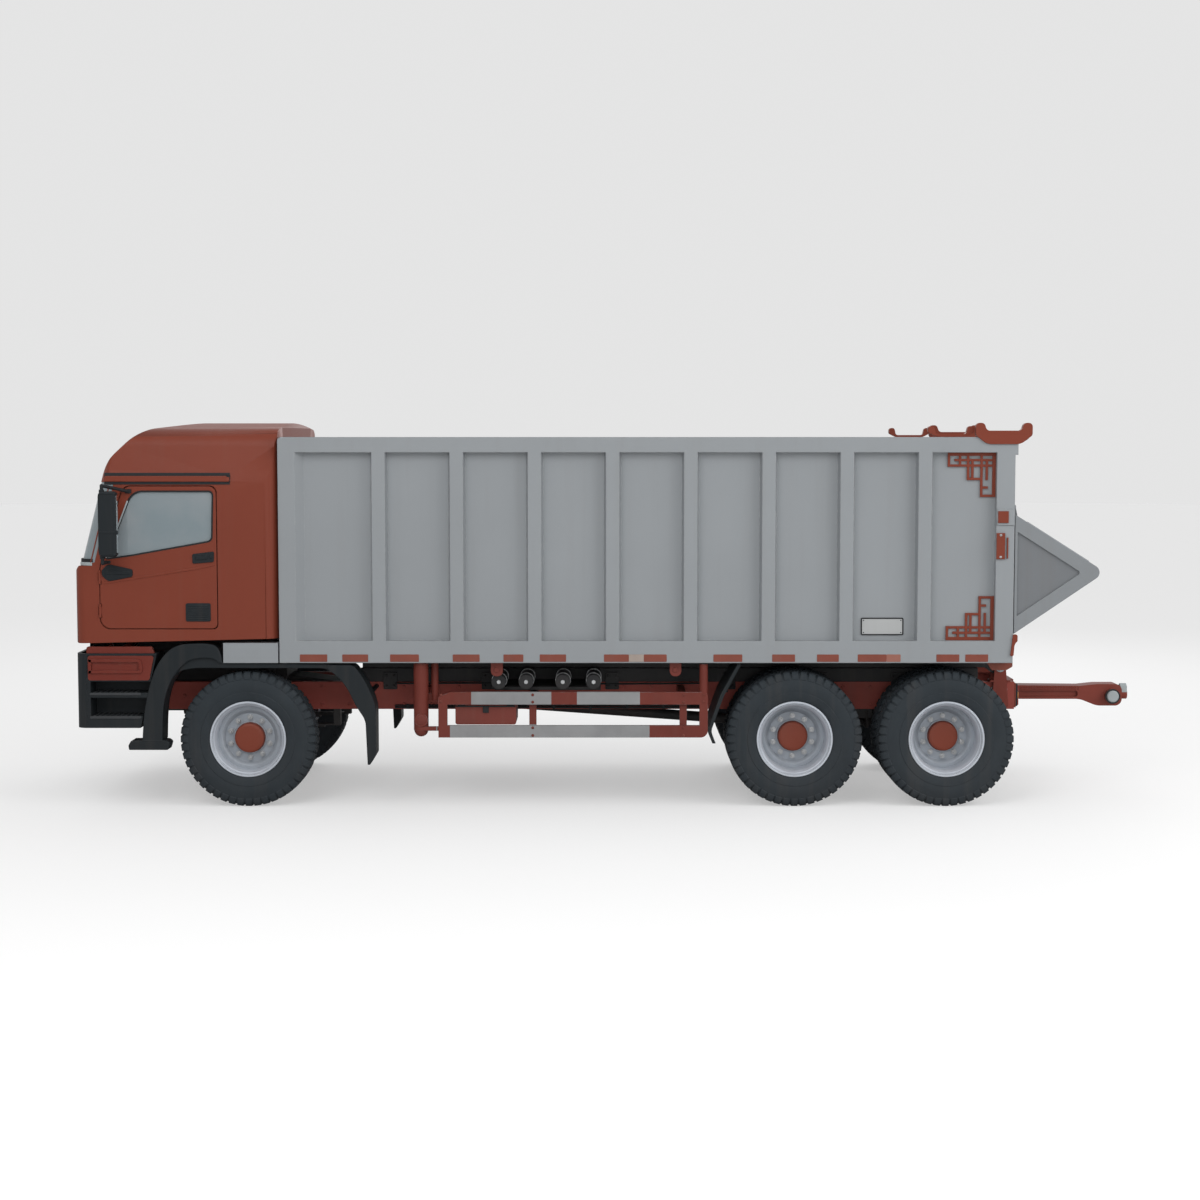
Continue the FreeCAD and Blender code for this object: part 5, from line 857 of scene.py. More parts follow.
def trimmed_cab():
    """The cab's solid, copied and cut to a rounded nose and a rounded front foot."""
    shell = bmesh.new()
    shell.from_mesh(NODES["cab_shell"].data)
    bmesh.ops.remove_doubles(shell, verts=shell.verts, dist=0.00002)
    foot = min(v.co.z for v in shell.verts if abs(v.co.y) > 1.2) * 1000
    cutter = bmesh.new()
    plate(cutter, NOSE_TRIM + [(-60, 3400), (1900, 3400), (1900, foot - 2), (-2, foot - 2, 52)],
          "xz", -1400, 1400)
    bmesh.ops.recalc_face_normals(cutter, faces=cutter.faces)
    bmesh.ops.transform(cutter, matrix=TO_METRES, verts=cutter.verts)
    cab, prism = linked_object(shell, "cab_being_cut"), linked_object(cutter, "cab_being_cut")
    cut = cab.modifiers.new("nose", "BOOLEAN")
    cut.operation = "INTERSECT"
    cut.solver = "EXACT"
    cut.object = prism
    trimmed = with_modifiers(cab)
    bpy.data.objects.remove(cab)
    bpy.data.objects.remove(prism)
    bm = bmesh.new()
    bm.from_mesh(trimmed)
    bmesh.ops.transform(bm, matrix=TO_METRES.inverted(), verts=bm.verts)
    skin = piece(bm, "cab_skin", cab_red, "cab", ["cab_shell"])
    for polygon in skin.data.polygons:
        if polygon.area > FLAT_PANEL_AREA:
            polygon.use_smooth = False


def gutter_recess_shades(bm):
    """Near-black strip behind each gutter: painted shade in its recess."""
    plate(bm, [(-1244, 2706), (-1253, 2706), (-1253, 2723), (-1242, 2803), (-1234, 2803)],
          "yz", 280, 1322)
    mirrored(bm)


def gutter_bar(bm):
    plate(bm, [(276, 2731), (1298, 2731), (1298, 2777), (288, 2777)], "xz", -1236, -1263, 8)
    soften(bm, 3)


def gutter_end(bm):
    plate(bm, rectangle(1296, 1324, 2722, 2790), "xz", -1236, -1258, 6)
    soften(bm, 3)


def door_seal(bm):
    frame_plate(bm, door_edge(7.6), "xz", -1236, -1204, 3.6)


def window_gasket(bm):
    frame_plate(bm, window_edge(0.6), "xz", -1251.5, -1238.4, 13)
    soften(bm, 2, segments=1)


# Pale strip along the window's front edge: a painted reflection.
def window_reflection_strip(bm):
    plate(bm, [(279, 2100), (290, 2097), (476, 2568), (465, 2574)], "xz", -1238, -1253.5, 3)


def pillar_trim(bm):
    bent_rod(bm, [(154, -1247, 2056), (316, -1247, 2690)], 5)


def scuttle(bm):
    """Pale strip along the foot of the screen and round its corners."""
    outer = with_image([(166, -1252), (45, -1252, 116), (45, -1130), (39.8, -848), (36, -565),
                        (33, 0)])
    inner = with_image([(166, 1232), (66, 1232, 96), (66, 1130), (58, 565), (54, 0)])
    plate(bm, outer + inner, "xy", 2031, 2060)
    soften(bm, 2, segments=1)


def screen_band(bm):
    """Dark strip over the scuttle, under the glass."""
    outer = with_image([(172, -1251), (51, -1251, 116), (51, -1130), (45, -848), (41, -565),
                        (38, 0)])
    inner = with_image([(172, 1233), (72, 1233, 96), (72, 1130), (60, 0)])
    plate(bm, outer + inner, "xy", 2060, 2088)


def wipers(bm):
    """Three arms parked along the foot of the screen, each with its blade."""
    for pivot, tip in ((-960, -260), (-330, 350), (330, 1010)):
        foot = (screen_x(pivot, 2058) - 8, pivot, 2058)
        rod(bm, (foot[0] + 14, pivot, 2054), (foot[0] - 8, pivot, 2060), 17, sides=20)
        elbow = (screen_x((pivot + tip) / 2, 2120) - 20, (pivot + tip) / 2, 2118)
        bent_rod(bm, [foot, elbow], 6.5)
        start, end = (pivot + tip) / 2 - 290, (pivot + tip) / 2 + 290
        rod(bm, (screen_x(start, 2104) - 7, start, 2104), (screen_x(end, 2132) - 7, end, 2132), 7)
        rod(bm, (screen_x(start, 2104) - 2, start, 2100), (screen_x(end, 2132) - 2, end, 2128), 4)


def roof_markers(bm):
    """Five small marker lamps over the screen."""
    for y in (-820, -410, 0, 410, 820):
        plate(bm, [(y - 44, 2810), (y + 44, 2810), (y + 34, 2842), (y - 34, 2842)], "yz",
              262, 320, 10)
    soften(bm, 4)


def swage(bm):
    """Raised crease along the door below the window."""
    plate(bm, [(262, 1876, 4), (1046, 2000, 30), (1186, 2031, 4), (1186, 2049, 4), (1046, 2019, 30),
               (262, 1895, 4)], "xz", -1248, -1254.5)
    soften(bm, 4, segments=3)


def door_handle(bm):
    """Grab recess with its bar, and near the rear edge the pull handle with paddle and lock."""
    plate(bm, [(247, 1950, 14), (300, 1900, 22), (504, 1940, 16), (504, 2000, 16), (300, 2045, 22),
               (247, 1995, 14)], "xz", -1249, -1260)
    plate(bm, [(275, 1958, 10), (480, 1958, 10), (480, 1986, 10), (275, 1986, 10)], "xz",
          -1259, -1264)
    plate(bm, [(1003, 2047, 14), (1181, 2062, 14), (1183, 2150, 14), (1001, 2128, 14)], "xz",
          -1249, -1259)
    plate(bm, [(1030, 2078, 10), (1130, 2086, 10), (1130, 2122, 10), (1030, 2112, 10)], "xz",
          -1258, -1264)
    soften(bm, 2.5)
    rod(bm, (1156, -1258, 2104), (1156, -1262, 2104), 13, sides=20)


def door_vent(bm):
    plate(bm, rectangle(941, 1149, 1565, 1718), "xz", -1249, -1256, 16)
    for i in range(7):
        low = 1582 + 18 * i
        plate(bm, rectangle(960, 1130, low, low + 10), "xz", -1255, -1258, 3)
    soften(bm, 1.2, segments=1)


def mirror_housing(bm):
    plate(bm, [(273, 2114, 44), (424, 2114, 30), (424, 2654, 30), (273, 2654, 44)], "xz",
          -1480, -1400)
    soften(bm, 15, segments=3)


def mirror_ribs(bm):
    """Raised bands across the housing, and its pivots."""
    for low, high in ((2306, 2326), (2130, 2140), (2628, 2638)):
        plate(bm, rectangle(280, 423, low, high), "xz", -1482, -1398, 4)
    for start, end in ((2640, 2668), (2126, 2098)):
        rod(bm, (300, -1440, start), (300, -1440, end), 22)
    soften(bm, 2, segments=1)


def mirror_glass(bm):
    for low, high in ((2146, 2300), (2330, 2622)):
        plate(bm, rectangle(-1463, -1417, low, high), "yz", 420, 425, 10)


def mirror_arms(bm):
    bent_rod(bm, [(300, -1440, 2660), (300, -1440, 2700), (478, -1261, 2650)], 14)
    bent_rod(bm, [(300, -1440, 2106), (300, -1440, 2060), (292, -1261, 2061)], 14)
    plate(bm, rectangle(452, 504, 2632, 2668), "xz", -1249, -1268, 8)
    plate(bm, rectangle(262, 322, 2049, 2073), "xz", -1249, -1268, 8)


GRILLE = (-780, 780, 1470, 1900)


def grille_frame(bm):
    frame_plate(bm, rectangle(*GRILLE), "yz", 14, 44, 26, 34)
    soften(bm, 4)
    for i in range(6):
        low = 1508 + 64 * i
        plate(bm, [(20, low), (40, low + 8), (40, low + 30), (16, low + 24)], "xz", -756, 756)


def grille_mesh(bm):
    plate(bm, rectangle(*GRILLE, inset=18), "yz", 40, 46)
    for i in range(1, 12):
        block(bm, (34, 41), (-760 + 127 * i - 4, -760 + 127 * i + 4), (1490, 1880))


trimmed_cab()
shaped("gutter_recess_shade_left_right", gasket, "cab", gutter_recess_shades)
on_both_sides("gutter_bar", cab_red, "cab", gutter_bar)
on_both_sides("gutter_end", dark_plastic, "cab", gutter_end)
on_both_sides("door_seal_ring", cab_red, "cab", door_seal)
on_both_sides("pillar_trim", cab_red, "cab", pillar_trim)
on_both_sides("window_gasket", gasket, "door_SIDE", window_gasket)
on_both_sides("window_reflection_strip", light_trim, "door_SIDE", window_reflection_strip)
on_both_sides("door_swage", cab_red, "door_SIDE", swage)
on_both_sides("door_handles", dark_plastic, "door_SIDE", door_handle,
              ["door_fittings_SIDE"])
on_both_sides("door_vent_slats", dark_plastic, "door_SIDE", door_vent,
              ["door_fittings_SIDE"])
for name, material, slot, shape in (
        ("mirror_housing", dark_plastic, "dark_plastic", mirror_housing),
        ("mirror_ribs", dark_plastic, "dark_plastic", mirror_ribs),
        ("mirror_arms", gasket, "dark_plastic", mirror_arms),
        ("mirror_glasses", silver_mirror, "glass", mirror_glass)):
    on_both_sides(name, material, "door_SIDE", shape, ["mirror_SIDE"])
shaped("screen_scuttle", light_trim, "cab", scuttle)
shaped("screen_foot_band", gasket, "cab", screen_band)
shaped("wipers", gasket, "cab", wipers)
shaped("roof_marker_lamps", amber_lens, "cab", roof_markers)
shaped("grille_slats", dark_plastic, "cab", grille_frame, ["grille"])
shaped("grille_mesh", gasket, "cab", grille_mesh, ["grille"])


# Front end: lamps, bumper, steps

HEADLAMP = (-1120, -800, 985, 1165)
BUMPER_SLOT = (-724, 724, 764, 916)
STEP_XS = (128, 556)


def lamp_lens(bm):
    plate(bm, rectangle(*HEADLAMP, inset=4), "yz", 13, 19, 26)
    soften(bm, 2, segments=1)


def lamp_housing(bm):
    frame_plate(bm, rectangle(*HEADLAMP), "yz", 12, 70, 9, 28)
    plate(bm, rectangle(*HEADLAMP, inset=6), "yz", 64, 70, 20)


def lamp_reflectors(bm):
    for y, radius in ((-1036, 66), (-886, 58)):
        turned(bm, [(24, radius), (36, radius * 0.9), (52, radius * 0.6), (60, 14), (44, 12),
                    (40, 0), (64, 0), (64, radius)], (y, 1075), 40, closed=False, axis="x")


def lamp_indicator(bm):
    plate(bm, rectangle(-832, -812, 1010, 1140), "yz", 20, 30, 6)


def number_plates(bm):
    """Blank plate on the bumper with its four screws."""
    plate(bm, rectangle(-260, 260, 930, 1040), "yz", -6, -1, 10)
    for y in (-225, 225):
        for z in (950, 1020):
            rod(bm, (-5, y, z), (-8, y, z), 7, sides=12)


def bumper_grid(bm):
    """Bars across the cooling slot, and uprights in front of them."""
    for i in range(4):
        block(bm, (18, 34), (-696, 696), (786 + 28 * i, 796 + 28 * i))
    for y in (-460, -230, 0, 230, 460):
        block(bm, (20, 36), (y - 5, y + 5), (782, 898))


def bumper_core(bm):
    """Duct and cooler behind the slot, and the apron that closes the gap under the cab."""
    frame_plate(bm, rectangle(*BUMPER_SLOT), "yz", 26, 66, 20, 10)
    plate(bm, rectangle(*BUMPER_SLOT, inset=2), "yz", 60, 72)
    for i in range(34):
        y = -693 + 42 * i
        block(bm, (54, 61), (y - 3, y + 3), (786, 894))
    plate(bm, rectangle(-1100, 1100, 1236, 1372), "yz", 100, 108, 20)


def bumper_fasteners(bm):
    for y in (-1090, -760, 760, 1090):
        for z in (700, 1250):
            bolt(bm, (10, y, z), (-1, 0, 0), 9, 6)
    for z in (1040, 1150):
        for side in (LEFT, RIGHT):
            bolt(bm, (96, side * 1248, z), (0, side, 0), 8, 5)


# Pale lips along the step edges: a painted highlight on their upper side.
def step_lips_painted_highlight(bm):
    for low, high in ((945, 967), (748, 771)):
        plate(bm, rectangle(*STEP_XS, low, high), "xz", -1238, -1256, 5)
    soften(bm, 3)


def step_treads(bm):
    """Raised cleats on both treads."""
    for z, reach in ((967, -1062), (771, -1042)):
        for i in range(9):
            at = 158 + 43 * i
            block(bm, (at, at + 14), (-1234, reach), (z - 2, z + 4))
    soften(bm, 1.5, segments=1)


def step_panel_trim(bm):
    """Raised loop round the panel's middle."""
    frame_plate(bm, [(121, 1130, 2), (578, 1130, 34), (562, 1248, 34), (121, 1248, 2)], "xz",
                -1246, -1262, 24)
    soften(bm, 7, segments=3)


for name, material, slot, shape in (
        ("headlamp_lens", clear_lens, "lamp", lamp_lens),
        ("headlamp_housing", dark_plastic, "dark_plastic", lamp_housing),
        ("headlamp_reflectors", bright_steel, "lamp", lamp_reflectors),
        ("front_indicator", amber_lens, "lamp", lamp_indicator)):
    on_both_sides(name, material, "chassis", shape, ["headlamps"])
shaped("blank_number_plate", plate_grey, "chassis", number_plates)
shaped("bumper_slot_bars", dark_plastic, "chassis", bumper_grid)
shaped("bumper_core", gasket, "chassis", bumper_core)
shaped("bumper_fasteners", gasket, "chassis", bumper_fasteners)
on_both_sides("step_lips_painted_highlight", pale_plastic_and_highlight, "chassis", step_lips_painted_highlight)
on_both_sides("step_treads", pale_plastic_and_highlight, "chassis", step_treads)
on_both_sides("step_panel_loop", panel_red, "chassis", step_panel_trim)


ARCH_OUTER = [(1238, 1218), (1228, 1295, 34), (1190, 1362, 30), (1113, 1379, 36), (960, 1379, 56),
              (845, 1360, 50), (757, 1290, 56), (679, 1179, 60), (618, 996, 80), (576, 774, 80),
              (560, 556)]
LEG_INNER = [(727, 556), (734, 774, 70), (752, 928, 70), (812, 1083, 60)]
TAIL_INNER = [(2104, 1170, 50), (2203, 1102, 50), (2279, 1006, 50), (2354, 851, 50),
              (2430, 735, 40), (2446, 358)]
TAIL_OUTER = [(2466, 358, 6), (2517, 444, 10), (2517, 832, 40), (2499, 909, 40), (2414, 1102, 100),
              (2330, 1198, 40)]


def mudguard_arch(bm):
    """Rounded hoop from the foot plate over to the sill, and the tail's outer band."""
    plate(bm, LEG_INNER + [(900, 1198, 50), (977, 1247, 36), (1093, 1262, 50), (1180, 1250, 30),
                           (1206, 1218)] + ARCH_OUTER, "xz", -1250, -1200)
    plate(bm, [(2120, 1198)] + TAIL_INNER + TAIL_OUTER, "xz", -1250, -1200)
    plate(bm, [(442, 522, 8), (467, 565, 14), (765, 565, 14), (790, 541, 8), (774, 484, 8),
               (447, 484, 8)], "xz", -1250, -1090)
    soften(bm, 9, segments=3)


def mudguard_liner(bm):
    """Inner skin over the tyre, set back behind the hoop, and the tail's stay."""
    plate(bm, LEG_INNER + [(880, 1150, 40), (1000, 1172, 40)] + TAIL_INNER + TAIL_OUTER
          + ARCH_OUTER, "xz", -1224, -1010)
    rod(bm, (2440, -1020, 930), (2440, -431, 930), 20)
    soften(bm, 3, segments=1)


for name, shape in (("arch", mudguard_arch), ("liner", mudguard_liner)):
    on_both_sides(f"front_mudguard_{name}", dark_plastic, "chassis", shape,
                  ["front_mudguards"])


# Tipping body: stripes, plates, hooks, bolts, and the tail lamps

SILL_MARK_ZS = (1227, 1289)
NAMEPLATE = (6578, 6934, 1445, 1591)
TAIL_LAMP = (-422, -253, 748, 944)
TAIL_LENS_YS = (-412, -263)
STRIPE_LENGTHS = [(1888, 2117), (2242, 2458), (2641, 2882), (3164, 3389), (3588, 3754),
                  (3891, 4111), (4427, 4635), (4760, 4951), (5341, 5582), (5832, 6023),
                  (6206, 6388), (6546, 6787), (7203, 7394), (7444, 7635)]


def sill_mark(bm, lengths):
    for front, rear in lengths:
        plate(bm, rectangle(front, rear, *SILL_MARK_ZS), "xz", -1249, -1252.6, 6)


def nameplate(bm):
    plate(bm, rectangle(*NAMEPLATE, inset=6), "xz", -1177, -1186, 8)
    soften(bm, 2, segments=1)


def nameplate_rim(bm):
    frame_plate(bm, rectangle(*NAMEPLATE), "xz", -1177, -1189, 10, 12)
    for x in (6600, 6912):
        for z in (1467, 1569):
            rod(bm, (x, -1185, z), (x, -1189, z), 5, sides=12)
    soften(bm, 1.5, segments=1)


def side_hooks(bm):
    """Rounded red tabs under the sill."""
    for front, rear in ((3478, 3579), (4979, 5076)):
        plate(bm, [(front, 1217, 2), (rear, 1217, 2), (rear, 1097, 44), (front, 1097, 44)], "xz",
              -1180, -1140)
    soften(bm, 5)
    for x in (3528, 5027):
        rod(bm, (x, -1178, 1152), (x, -1190, 1152), 20, sides=24)


def sill_gussets(bm):
    """Bracket under the sill's rear end."""
    plate(bm, [(7640, 1217), (7866, 1217), (7866, 1172), (7816, 1142), (7690, 1142)], "xz",
          -1120, -1080, 8)
    soften(bm, 4)


def latch_bolts(bm):
    bolts(bm, (7725,), -1266, (2104, 2286), 8, 6)
    bolts(bm, (7716, 7770), -1262, (2432,), 8, 6)


def gate_ribs(bm):
    """Pressed ribs across the gate's two outer faces."""
    upper = (Vector((8605, 0, 1976)), Vector((7848, 0, 2456)))
    lower = (Vector((8605, 0, 1976)), Vector((7848, 0, 1461)))
    for (start, end), sign in ((upper, 1), (lower, -1)):
        run = end - start
        out = Vector((-run.z, 0, run.x)).normalized()
        if out.z * sign < 0:
            out = -out
        for y in (-1040, -620, -200, 200, 620, 1040):
            a, b = start + run * 0.14, start + run * 0.84
            verts = [bm.verts.new(at + Vector((0, across, 0)) - out * 4)
                     for at, across in ((a, y - 45), (a, y + 45), (b, y + 45), (b, y - 45))]
            push(bm, [bm.faces.new(verts)], out * 22)
    soften(bm, 9)


def tail_case(bm):
    plate(bm, rectangle(*TAIL_LAMP), "yz", 8033, 8052, 14)
    soften(bm, 3)


def tail_lens(bm, heights):
    for low, high in heights:
        plate(bm, rectangle(*TAIL_LENS_YS, low, high), "yz", 8050, 8062, 8)
    soften(bm, 2, segments=1)


for name, material, slot, lengths in (
        ("sill_stripes", stripe_red, "cab_paint", STRIPE_LENGTHS),
        ("sill_patch_beige", beige, "body_paint", [(4635.4, 4759.6)]),
        ("sill_patch_faded", faded_red, "body_paint", [(6787.4, 6904)])):
    on_both_sides(name, material, "tipper", lambda bm: sill_mark(bm, lengths))
on_both_sides("blank_nameplate", plate_grey, "tipper", nameplate)
on_both_sides("nameplate_rim", gasket, "tipper", nameplate_rim)
on_both_sides("side_hooks", chassis_red, "tipper", side_hooks)
on_both_sides("sill_gussets", stripe_red, "tipper", sill_gussets)
on_both_sides("latch_bolts", bright_steel, "tipper", latch_bolts)
shaped("gate_ribs", body_grey, "tailgate", gate_ribs)
on_both_sides("tail_lamp_case", gasket, "chassis", tail_case, ["tail_lamps"])
for name, material, heights in (("lenses", red_lens, [(758, 810), (884, 934)]),
                                ("indicator", amber_lens, [(820, 874)])):
    on_both_sides(f"tail_lamp_{name}", material, "chassis",
                  lambda bm: tail_lens(bm, heights), ["tail_lamps"])


# Chassis: bolts, straps, guards, tow bar

RAIL_Y = -429
REAR_SPRING_X = 6665.0
TOW_PIN = (8951, 803)


def rail_heads(bm):
    """Bolt heads in pairs along the outside of the frame rail."""
    bolts(bm, range(1960, 7960, 240), RAIL_Y, (770, 922), 12, 9)
    bolts(bm, (210, 470, 760, 1000), RAIL_Y, (846,), 12, 9)


def subframe_plates(bm):
    """Plates that tie the tipping frame to the rails, each with four bolts."""
    for x in (2560, 3420, 4500, 5520, 6320, 7000):
        plate(bm, rectangle(x - 60, x + 60, 900, 1050), "xz", -422, -440, 8)
        bolts(bm, (x - 34, x + 34), -439, (930, 1020), 10, 8)
    soften(bm, 1.5, segments=1)


def spring_bolts(bm):
    """Threaded U bolts and their nuts over the axle seats."""
    for x, z, top in ((1440, 500, 700), (REAR_SPRING_X, 560, 706)):
        for shift in (-66, 66):
            for y in (-438, -342):
                rod(bm, (x + shift, y, z), (x + shift, y, top), 10, sides=12)
                rod(bm, (x + shift, y, z + 8), (x + shift, y, z + 26), 18, sides=6)
            rod(bm, (x + shift, -438, top), (x + shift, -342, top), 10, sides=12)


def tank_straps(bm):
    for x in (3540, 3770, 4080, 4340):
        for y in (-960, -640):
            turned(bm, [(y - 17, 61), (y - 17, 65.5), (y + 17, 65.5), (y + 17, 61)], (x, 1040), 40)
        rod(bm, (x, -1098, 1040), (x, -1106, 1040), 18, sides=6)


def chest_trim(bm):
    """Lid lip, latch and hinges of the long chest."""
    plate(bm, rectangle(3186, 3683, 838, 850), "xz", -1178, -1186, 3)
    plate(bm, rectangle(3410, 3460, 790, 846), "xz", -1178, -1190, 6)
    soften(bm, 2, segments=1)
    for x in (3230, 3640):
        rod(bm, (x - 30, -1184, 852), (x + 30, -1184, 852), 7)


def guard_fittings(bm):
    """Bolts of the side guard, and the rounded ends of its front post."""
    bolts(bm, (3830, 5093), -1224, (604, 669, 886, 946), 9, 7)
    bolts(bm, (3062, 5263), -1224, (890, 945), 9, 7)
    ball(bm, (2895, -1214, 731), 46, squash=0.22)
    ball(bm, (2890, -1150, 1200), 60)
    ball(bm, (2890, -1150, 645), 60)


def guard_rim(bm):
    turned(bm, [(-1222, 30), (-1222, 36), (-1214, 50), (-1206, 55), (-1190, 55), (-1190, 30)],
           (2895, 731), 40)


def tow_fittings(bm):
    """Pale pin with its washers, and the hex sleeve at the tip."""
    turned(bm, [(-168, 0), (-168, 44), (-164, 50), (-156, 54), (-148, 54), (-148, 0)],
           TOW_PIN, 48, closed=False)
    turned(bm, [(148, 0), (148, 54), (156, 54), (164, 50), (168, 44), (168, 0)],
           TOW_PIN, 48, closed=False)
    rod(bm, (9046, 0, 854), (9104, 0, 854), 51, sides=6)


def pin_collars(bm):
    """Dark washer round each end of the pin."""
    for low, high in ((-158, -146), (146, 158)):
        turned(bm, [(low, 40), (low, 66), (high, 66), (high, 40)], TOW_PIN, 48)


def tow_band(bm):
    """Raised checker band along the bar's flank."""
    for i in range(26):
        x = 8062 + 24 * i
        for z in (862, 880):
            plate(bm, [(x - 9, z), (x, z - 7), (x + 9, z), (x, z + 7)], "xz", -90, -95)


def rear_bolts(bm):
    """Large heads at the rear of the rail and on the hinge bracket."""
    bolts(bm, (7830, 7940), RAIL_Y, (800, 900), 15, 11)
    bolts(bm, (7890,), -459, (1100,), 34, 20)


def low_pipes(bm):
    """Three air lines along the rail, and their clips."""
    for z, radius, y in ((742, 9, -440), (760, 7, -438), (952, 8, -437)):
        bent_rod(bm, [(2600, y, z), (3400, y, z + 4), (4600, y, z - 4), (5300, y, z + 2)], radius)
    for x in range(2700, 5300, 320):
        block(bm, (x, x + 22), (-452, -428), (730, 772))


on_both_sides("frame_rail_bolts", frame_red_painted_light, "chassis", rail_heads)
on_both_sides("subframe_plates", dark_steel, "chassis", subframe_plates)
on_both_sides("spring_u_bolts", dark_steel, "chassis", spring_bolts)
shaped("tank_straps", bright_steel, "chassis", tank_straps)
on_both_sides("chest_trim", gasket, "chassis", chest_trim)
on_both_sides("guard_fittings", chassis_red, "chassis", guard_fittings)
on_both_sides("guard_boss_rim", chassis_red, "chassis", guard_rim)
shaped("tow_pin", light_trim, "chassis", tow_fittings)
shaped("tow_pin_collars", gasket, "chassis", pin_collars)
on_both_sides("tow_bar_checker", tow_red, "chassis", tow_band)
on_both_sides("rear_rail_bolts", light_trim, "chassis", rear_bolts)
on_both_sides("air_lines", gasket, "chassis", low_pipes)


# Cabin: padded seats, wheel, dials

SEAT_Y = -620.0
SEAT_LEAN = 10.5
SEAT_HINGE = (1322, 0, 1880)
WHEEL_TURN = -35.0
PAD_ROUNDING = 20
PAD_VOXEL, PAD_CAP = 0.012, 0.012
PAD_PRESSURE, PAD_FRAMES = 4.0, 20


def seat_base_pads(bm):
    """Middle of the cushion and its two side bolsters, a seam's width apart."""
    for low, high, top in ((-866, -792, 1884), (-784, -456, 1872), (-448, -374, 1884)):
        block(bm, (790, 1330), (low, high), (1748, top))


def seat_back_pads(bm):
    """Middle of the back, its bolsters and the head pad."""
    for low, high in ((-856, -782), (-774, -466), (-458, -384)):
        swing(bm, block(bm, (1322, 1424), (low, high), (1880, 2360)), SEAT_HINGE, SEAT_LEAN)
    swing(bm, block(bm, (1342, 1424), (-760, -480), (2376, 2560)), SEAT_HINGE, SEAT_LEAN)


def puffed(bm):
    """Remeshes the pads, swells them as cloth under pressure and returns the mesh."""
    soften(bm, PAD_ROUNDING, segments=3)
    bmesh.ops.recalc_face_normals(bm, faces=bm.faces)
    bmesh.ops.transform(bm, matrix=TO_METRES, verts=bm.verts)
    pad = linked_object(bm, "pad_being_filled")
    remesh = pad.modifiers.new("even_faces", "REMESH")
    remesh.mode = "VOXEL"
    remesh.voxel_size = PAD_VOXEL
    even = with_modifiers(pad)
    pad.modifiers.clear()
    pad.data = even
    rest = [v.co.copy() for v in even.vertices]
    cloth = pad.modifiers.new("filling", "CLOTH")
    cloth.settings.use_pressure = True
    cloth.settings.uniform_pressure_force = PAD_PRESSURE
    cloth.settings.effector_weights.gravity = 0.0
    cloth.settings.quality = 4
    scene = bpy.context.scene
    for number in range(1, PAD_FRAMES + 1):
        scene.frame_set(number)
    depsgraph = bpy.context.evaluated_depsgraph_get()
    swollen = [v.co.copy() for v in pad.evaluated_get(depsgraph).data.vertices]
    pad.modifiers.clear()
    scene.frame_set(1)
    for vertex, start, end in zip(even.vertices, rest, swollen):
        move = end - start
        if move.length > PAD_CAP:
            move = move.normalized() * PAD_CAP
        vertex.co = start + move
    bpy.data.objects.remove(pad)
    return even


def seat_pads(title, fill_shape):
    """The same pads on both seats."""
    bm = bmesh.new()
    fill_shape(bm)
    even = puffed(bm)
    for side_name, side in SIDES.items():
        bm = bmesh.new()
        bm.from_mesh(even)
        bmesh.ops.transform(bm, matrix=TO_METRES.inverted(), verts=bm.verts)
        to_side(bm, side)
        pad = piece(bm, f"{title}_{side_name}", seat_cloth, "cab", ["seats"], 180)
        smooth = pad.modifiers.new("smooth", "SUBSURF")
        smooth.levels = smooth.render_levels = 1


def seat_frame(bm):
    """Pedestal, pan, back shell and head-rest posts."""
    plate(bm, [(900, 1490), (1320, 1490), (1300, 1600), (1300, 1726), (920, 1726), (920, 1600)],
          "xz", -780, -460, 20)
    plate(bm, rectangle(786, 1336, 1722, 1748), "xz", -872, -368, 8)
    shell = plate(bm, rectangle(1418, 1438, 1876, 2372), "xz", -850, -390, 8)
    posts = []
    for y in (-690, -550):
        posts += rod(bm, (1388, y, 2350), (1388, y, 2400), 9, sides=12)
    swing(bm, shell + posts, SEAT_HINGE, SEAT_LEAN)
    soften(bm, 5)


def seat_piping(bm):
    """Cord sewn round the cushion's upper edge."""
    corners = [(802, -856, 1874), (802, -384, 1874), (1318, -384, 1874), (1318, -856, 1874)]
    bent_rod(bm, corners + corners[:2], 4, sides=8)


def steering_ring(bm):
    """Rim, three spokes and hub, square to the column and then turned onto it."""
    ring = [(17 * math.sin(i * math.tau / 12), 225 + 17 * math.cos(i * math.tau / 12))
            for i in range(12)]
    turned(bm, ring, (0, 0), 72)
    turned(bm, [(-10, 0), (-14, 34), (-8, 56), (14, 62), (22, 0)], (0, 0), 36, closed=False)
    for turn in (90, 210, 330):
        verts = plate(bm, [(-16, 40), (16, 40), (11, 222), (-11, 222)], "xz", 2, 14)
        swing(bm, verts, (0, 0, 0), turn)
    rod(bm, (0, 14, 0), (0, 240, 0), 24)
    soften(bm, 2, segments=1)
    swing(bm, bm.verts, (0, 0, 0), 90, "X")
    swing(bm, bm.verts, (0, 0, 0), WHEEL_TURN)
    bmesh.ops.translate(bm, verts=bm.verts, vec=(640, SEAT_Y, 2080))


def dash_details(bm):
    """Dials behind the wheel, air vents and the gear lever with its knob."""
    for y in (-700, -620, -540):
        turned(bm, [(510, 34), (524, 36), (524, 30), (516, 0)], (y, 1930), 32, closed=False,
               axis="x")
    for y in (-1040, -300, 300, 1040):
        for i in range(4):
            block(bm, (512, 522), (y - 60, y + 60), (1896 + 12 * i, 1902 + 12 * i))
    rod(bm, (330, -60, 1716), (372, -60, 1900), 9)
    ball(bm, (375, -60, 1912), 26)


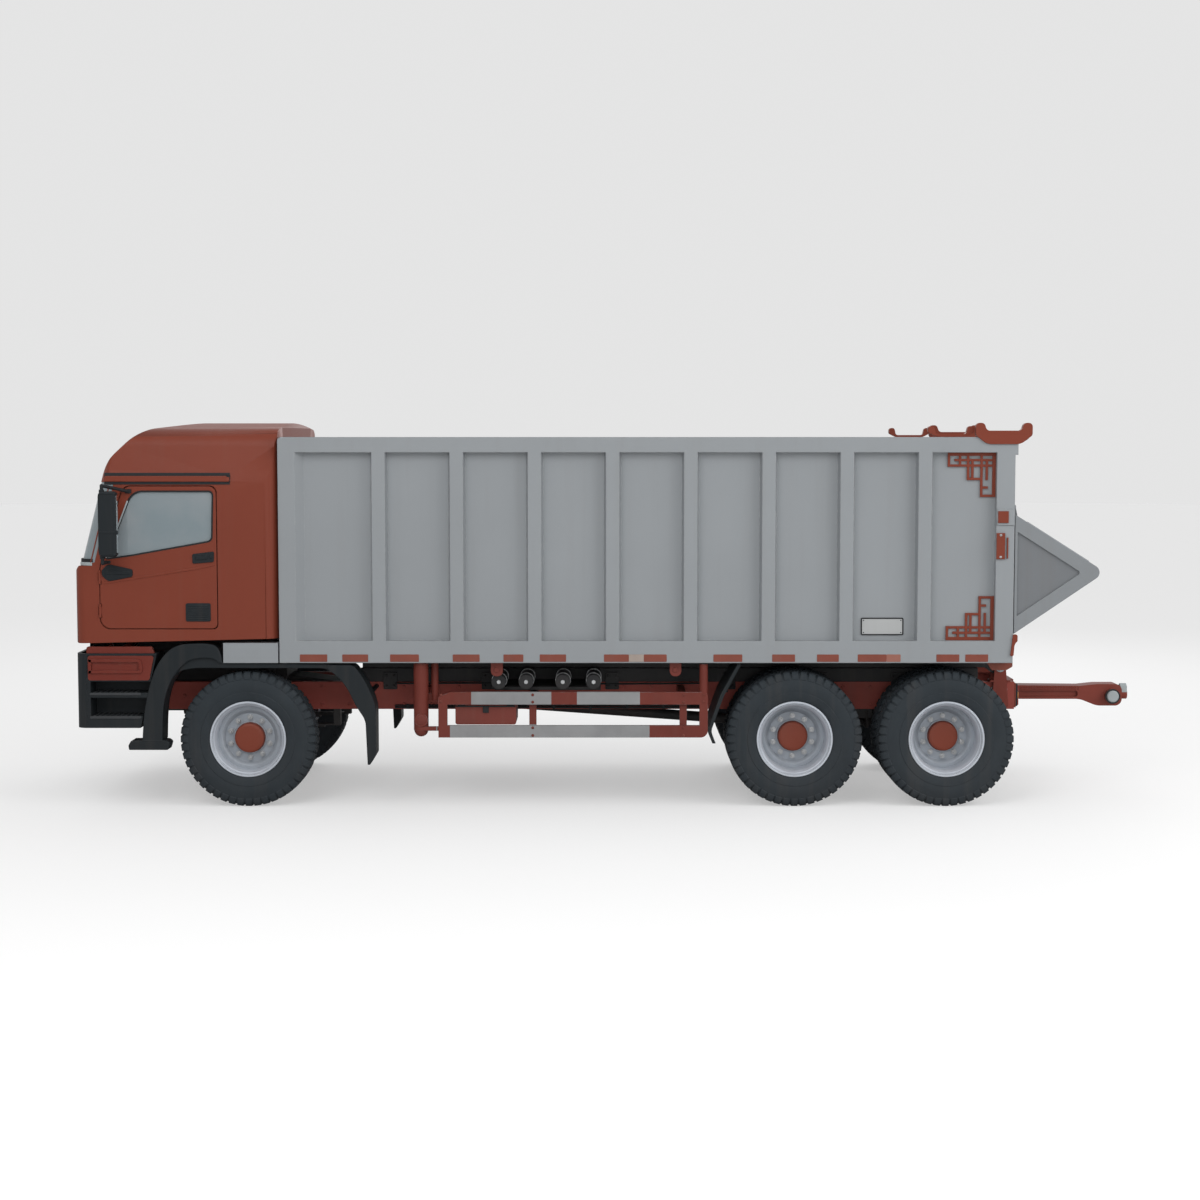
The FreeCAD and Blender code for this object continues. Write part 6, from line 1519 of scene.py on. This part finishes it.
seat_pads("seat_cushion", seat_base_pads)
seat_pads("seat_back", seat_back_pads)
on_both_sides("seat_frame", dark_plastic, "cab", seat_frame, ["seats"])
on_both_sides("seat_piping", gasket, "cab", seat_piping, ["seats"])
shaped("steering_wheel_rim", gasket, "cab", steering_ring, ["steering_wheel"])
shaped("dashboard_details", gasket, "cab", dash_details)


# Floor, backdrop and light

FLOOR_R = 90.0
FLOOR_GLOW = 0.40
SKY_LIGHT, SKY_SEEN = 0.64, 0.78
LAMP_AIM = Vector((0, 0, 1.4))


def make_stage():
    bm = bmesh.new()
    bmesh.ops.create_circle(bm, cap_ends=True, radius=FLOOR_R, segments=96)
    floor = linked_object(bm, "studio_floor")
    material, tree, shader = new_material("studio_floor", base=(0.58, 0.58, 0.58, 1),
                                          glow=(1, 1, 1, 1), roughness=0.85, specular=0.1)
    seen = put(tree, "ShaderNodeLightPath").outputs["Is Camera Ray"]
    glow = ramp_node(tree, seen, 0.0, 1.0, 0.0, FLOOR_GLOW)
    tree.links.new(glow, shader.inputs["Emission Strength"])
    floor.data.materials.append(material)


def make_light():
    world = bpy.data.worlds.new("studio")
    bpy.context.scene.world = world
    world.use_nodes = True
    tree = world.node_tree
    background = tree.nodes["Background"]
    path = put(tree, "ShaderNodeLightPath")
    seen = math_node(tree, "MAXIMUM", path.outputs["Is Camera Ray"], path.outputs["Is Glossy Ray"])
    seen = math_node(tree, "MAXIMUM", seen, path.outputs["Is Transmission Ray"])
    strength = ramp_node(tree, seen, 0.0, 1.0, SKY_LIGHT, SKY_SEEN)
    tree.links.new(strength, background.inputs["Strength"])
    background.inputs["Color"].default_value = (1, 1, 1, 1)
    for name, place, size, power in (
            ("key", (-4.0, -12.0, 9.5), 7.0, 500.0),
            ("fill", (11.0, -7.0, 6.5), 8.0, 560.0),
            ("low", (1.0, -14.0, 1.6), 6.0, 190.0),
            ("back", (2.0, 11.0, 9.0), 8.0, 320.0)):
        lamp = bpy.data.lights.new(name, "AREA")
        lamp.shape = "SQUARE"
        lamp.size = size
        lamp.energy = power
        holder = bpy.data.objects.new(name, lamp)
        holder.location = place
        aim = LAMP_AIM - Vector(place)
        holder.rotation_euler = aim.to_track_quat("-Z", "Y").to_euler()
        bpy.context.collection.objects.link(holder)


make_stage()
make_light()
bpy.context.scene.view_settings.view_transform = "Standard"
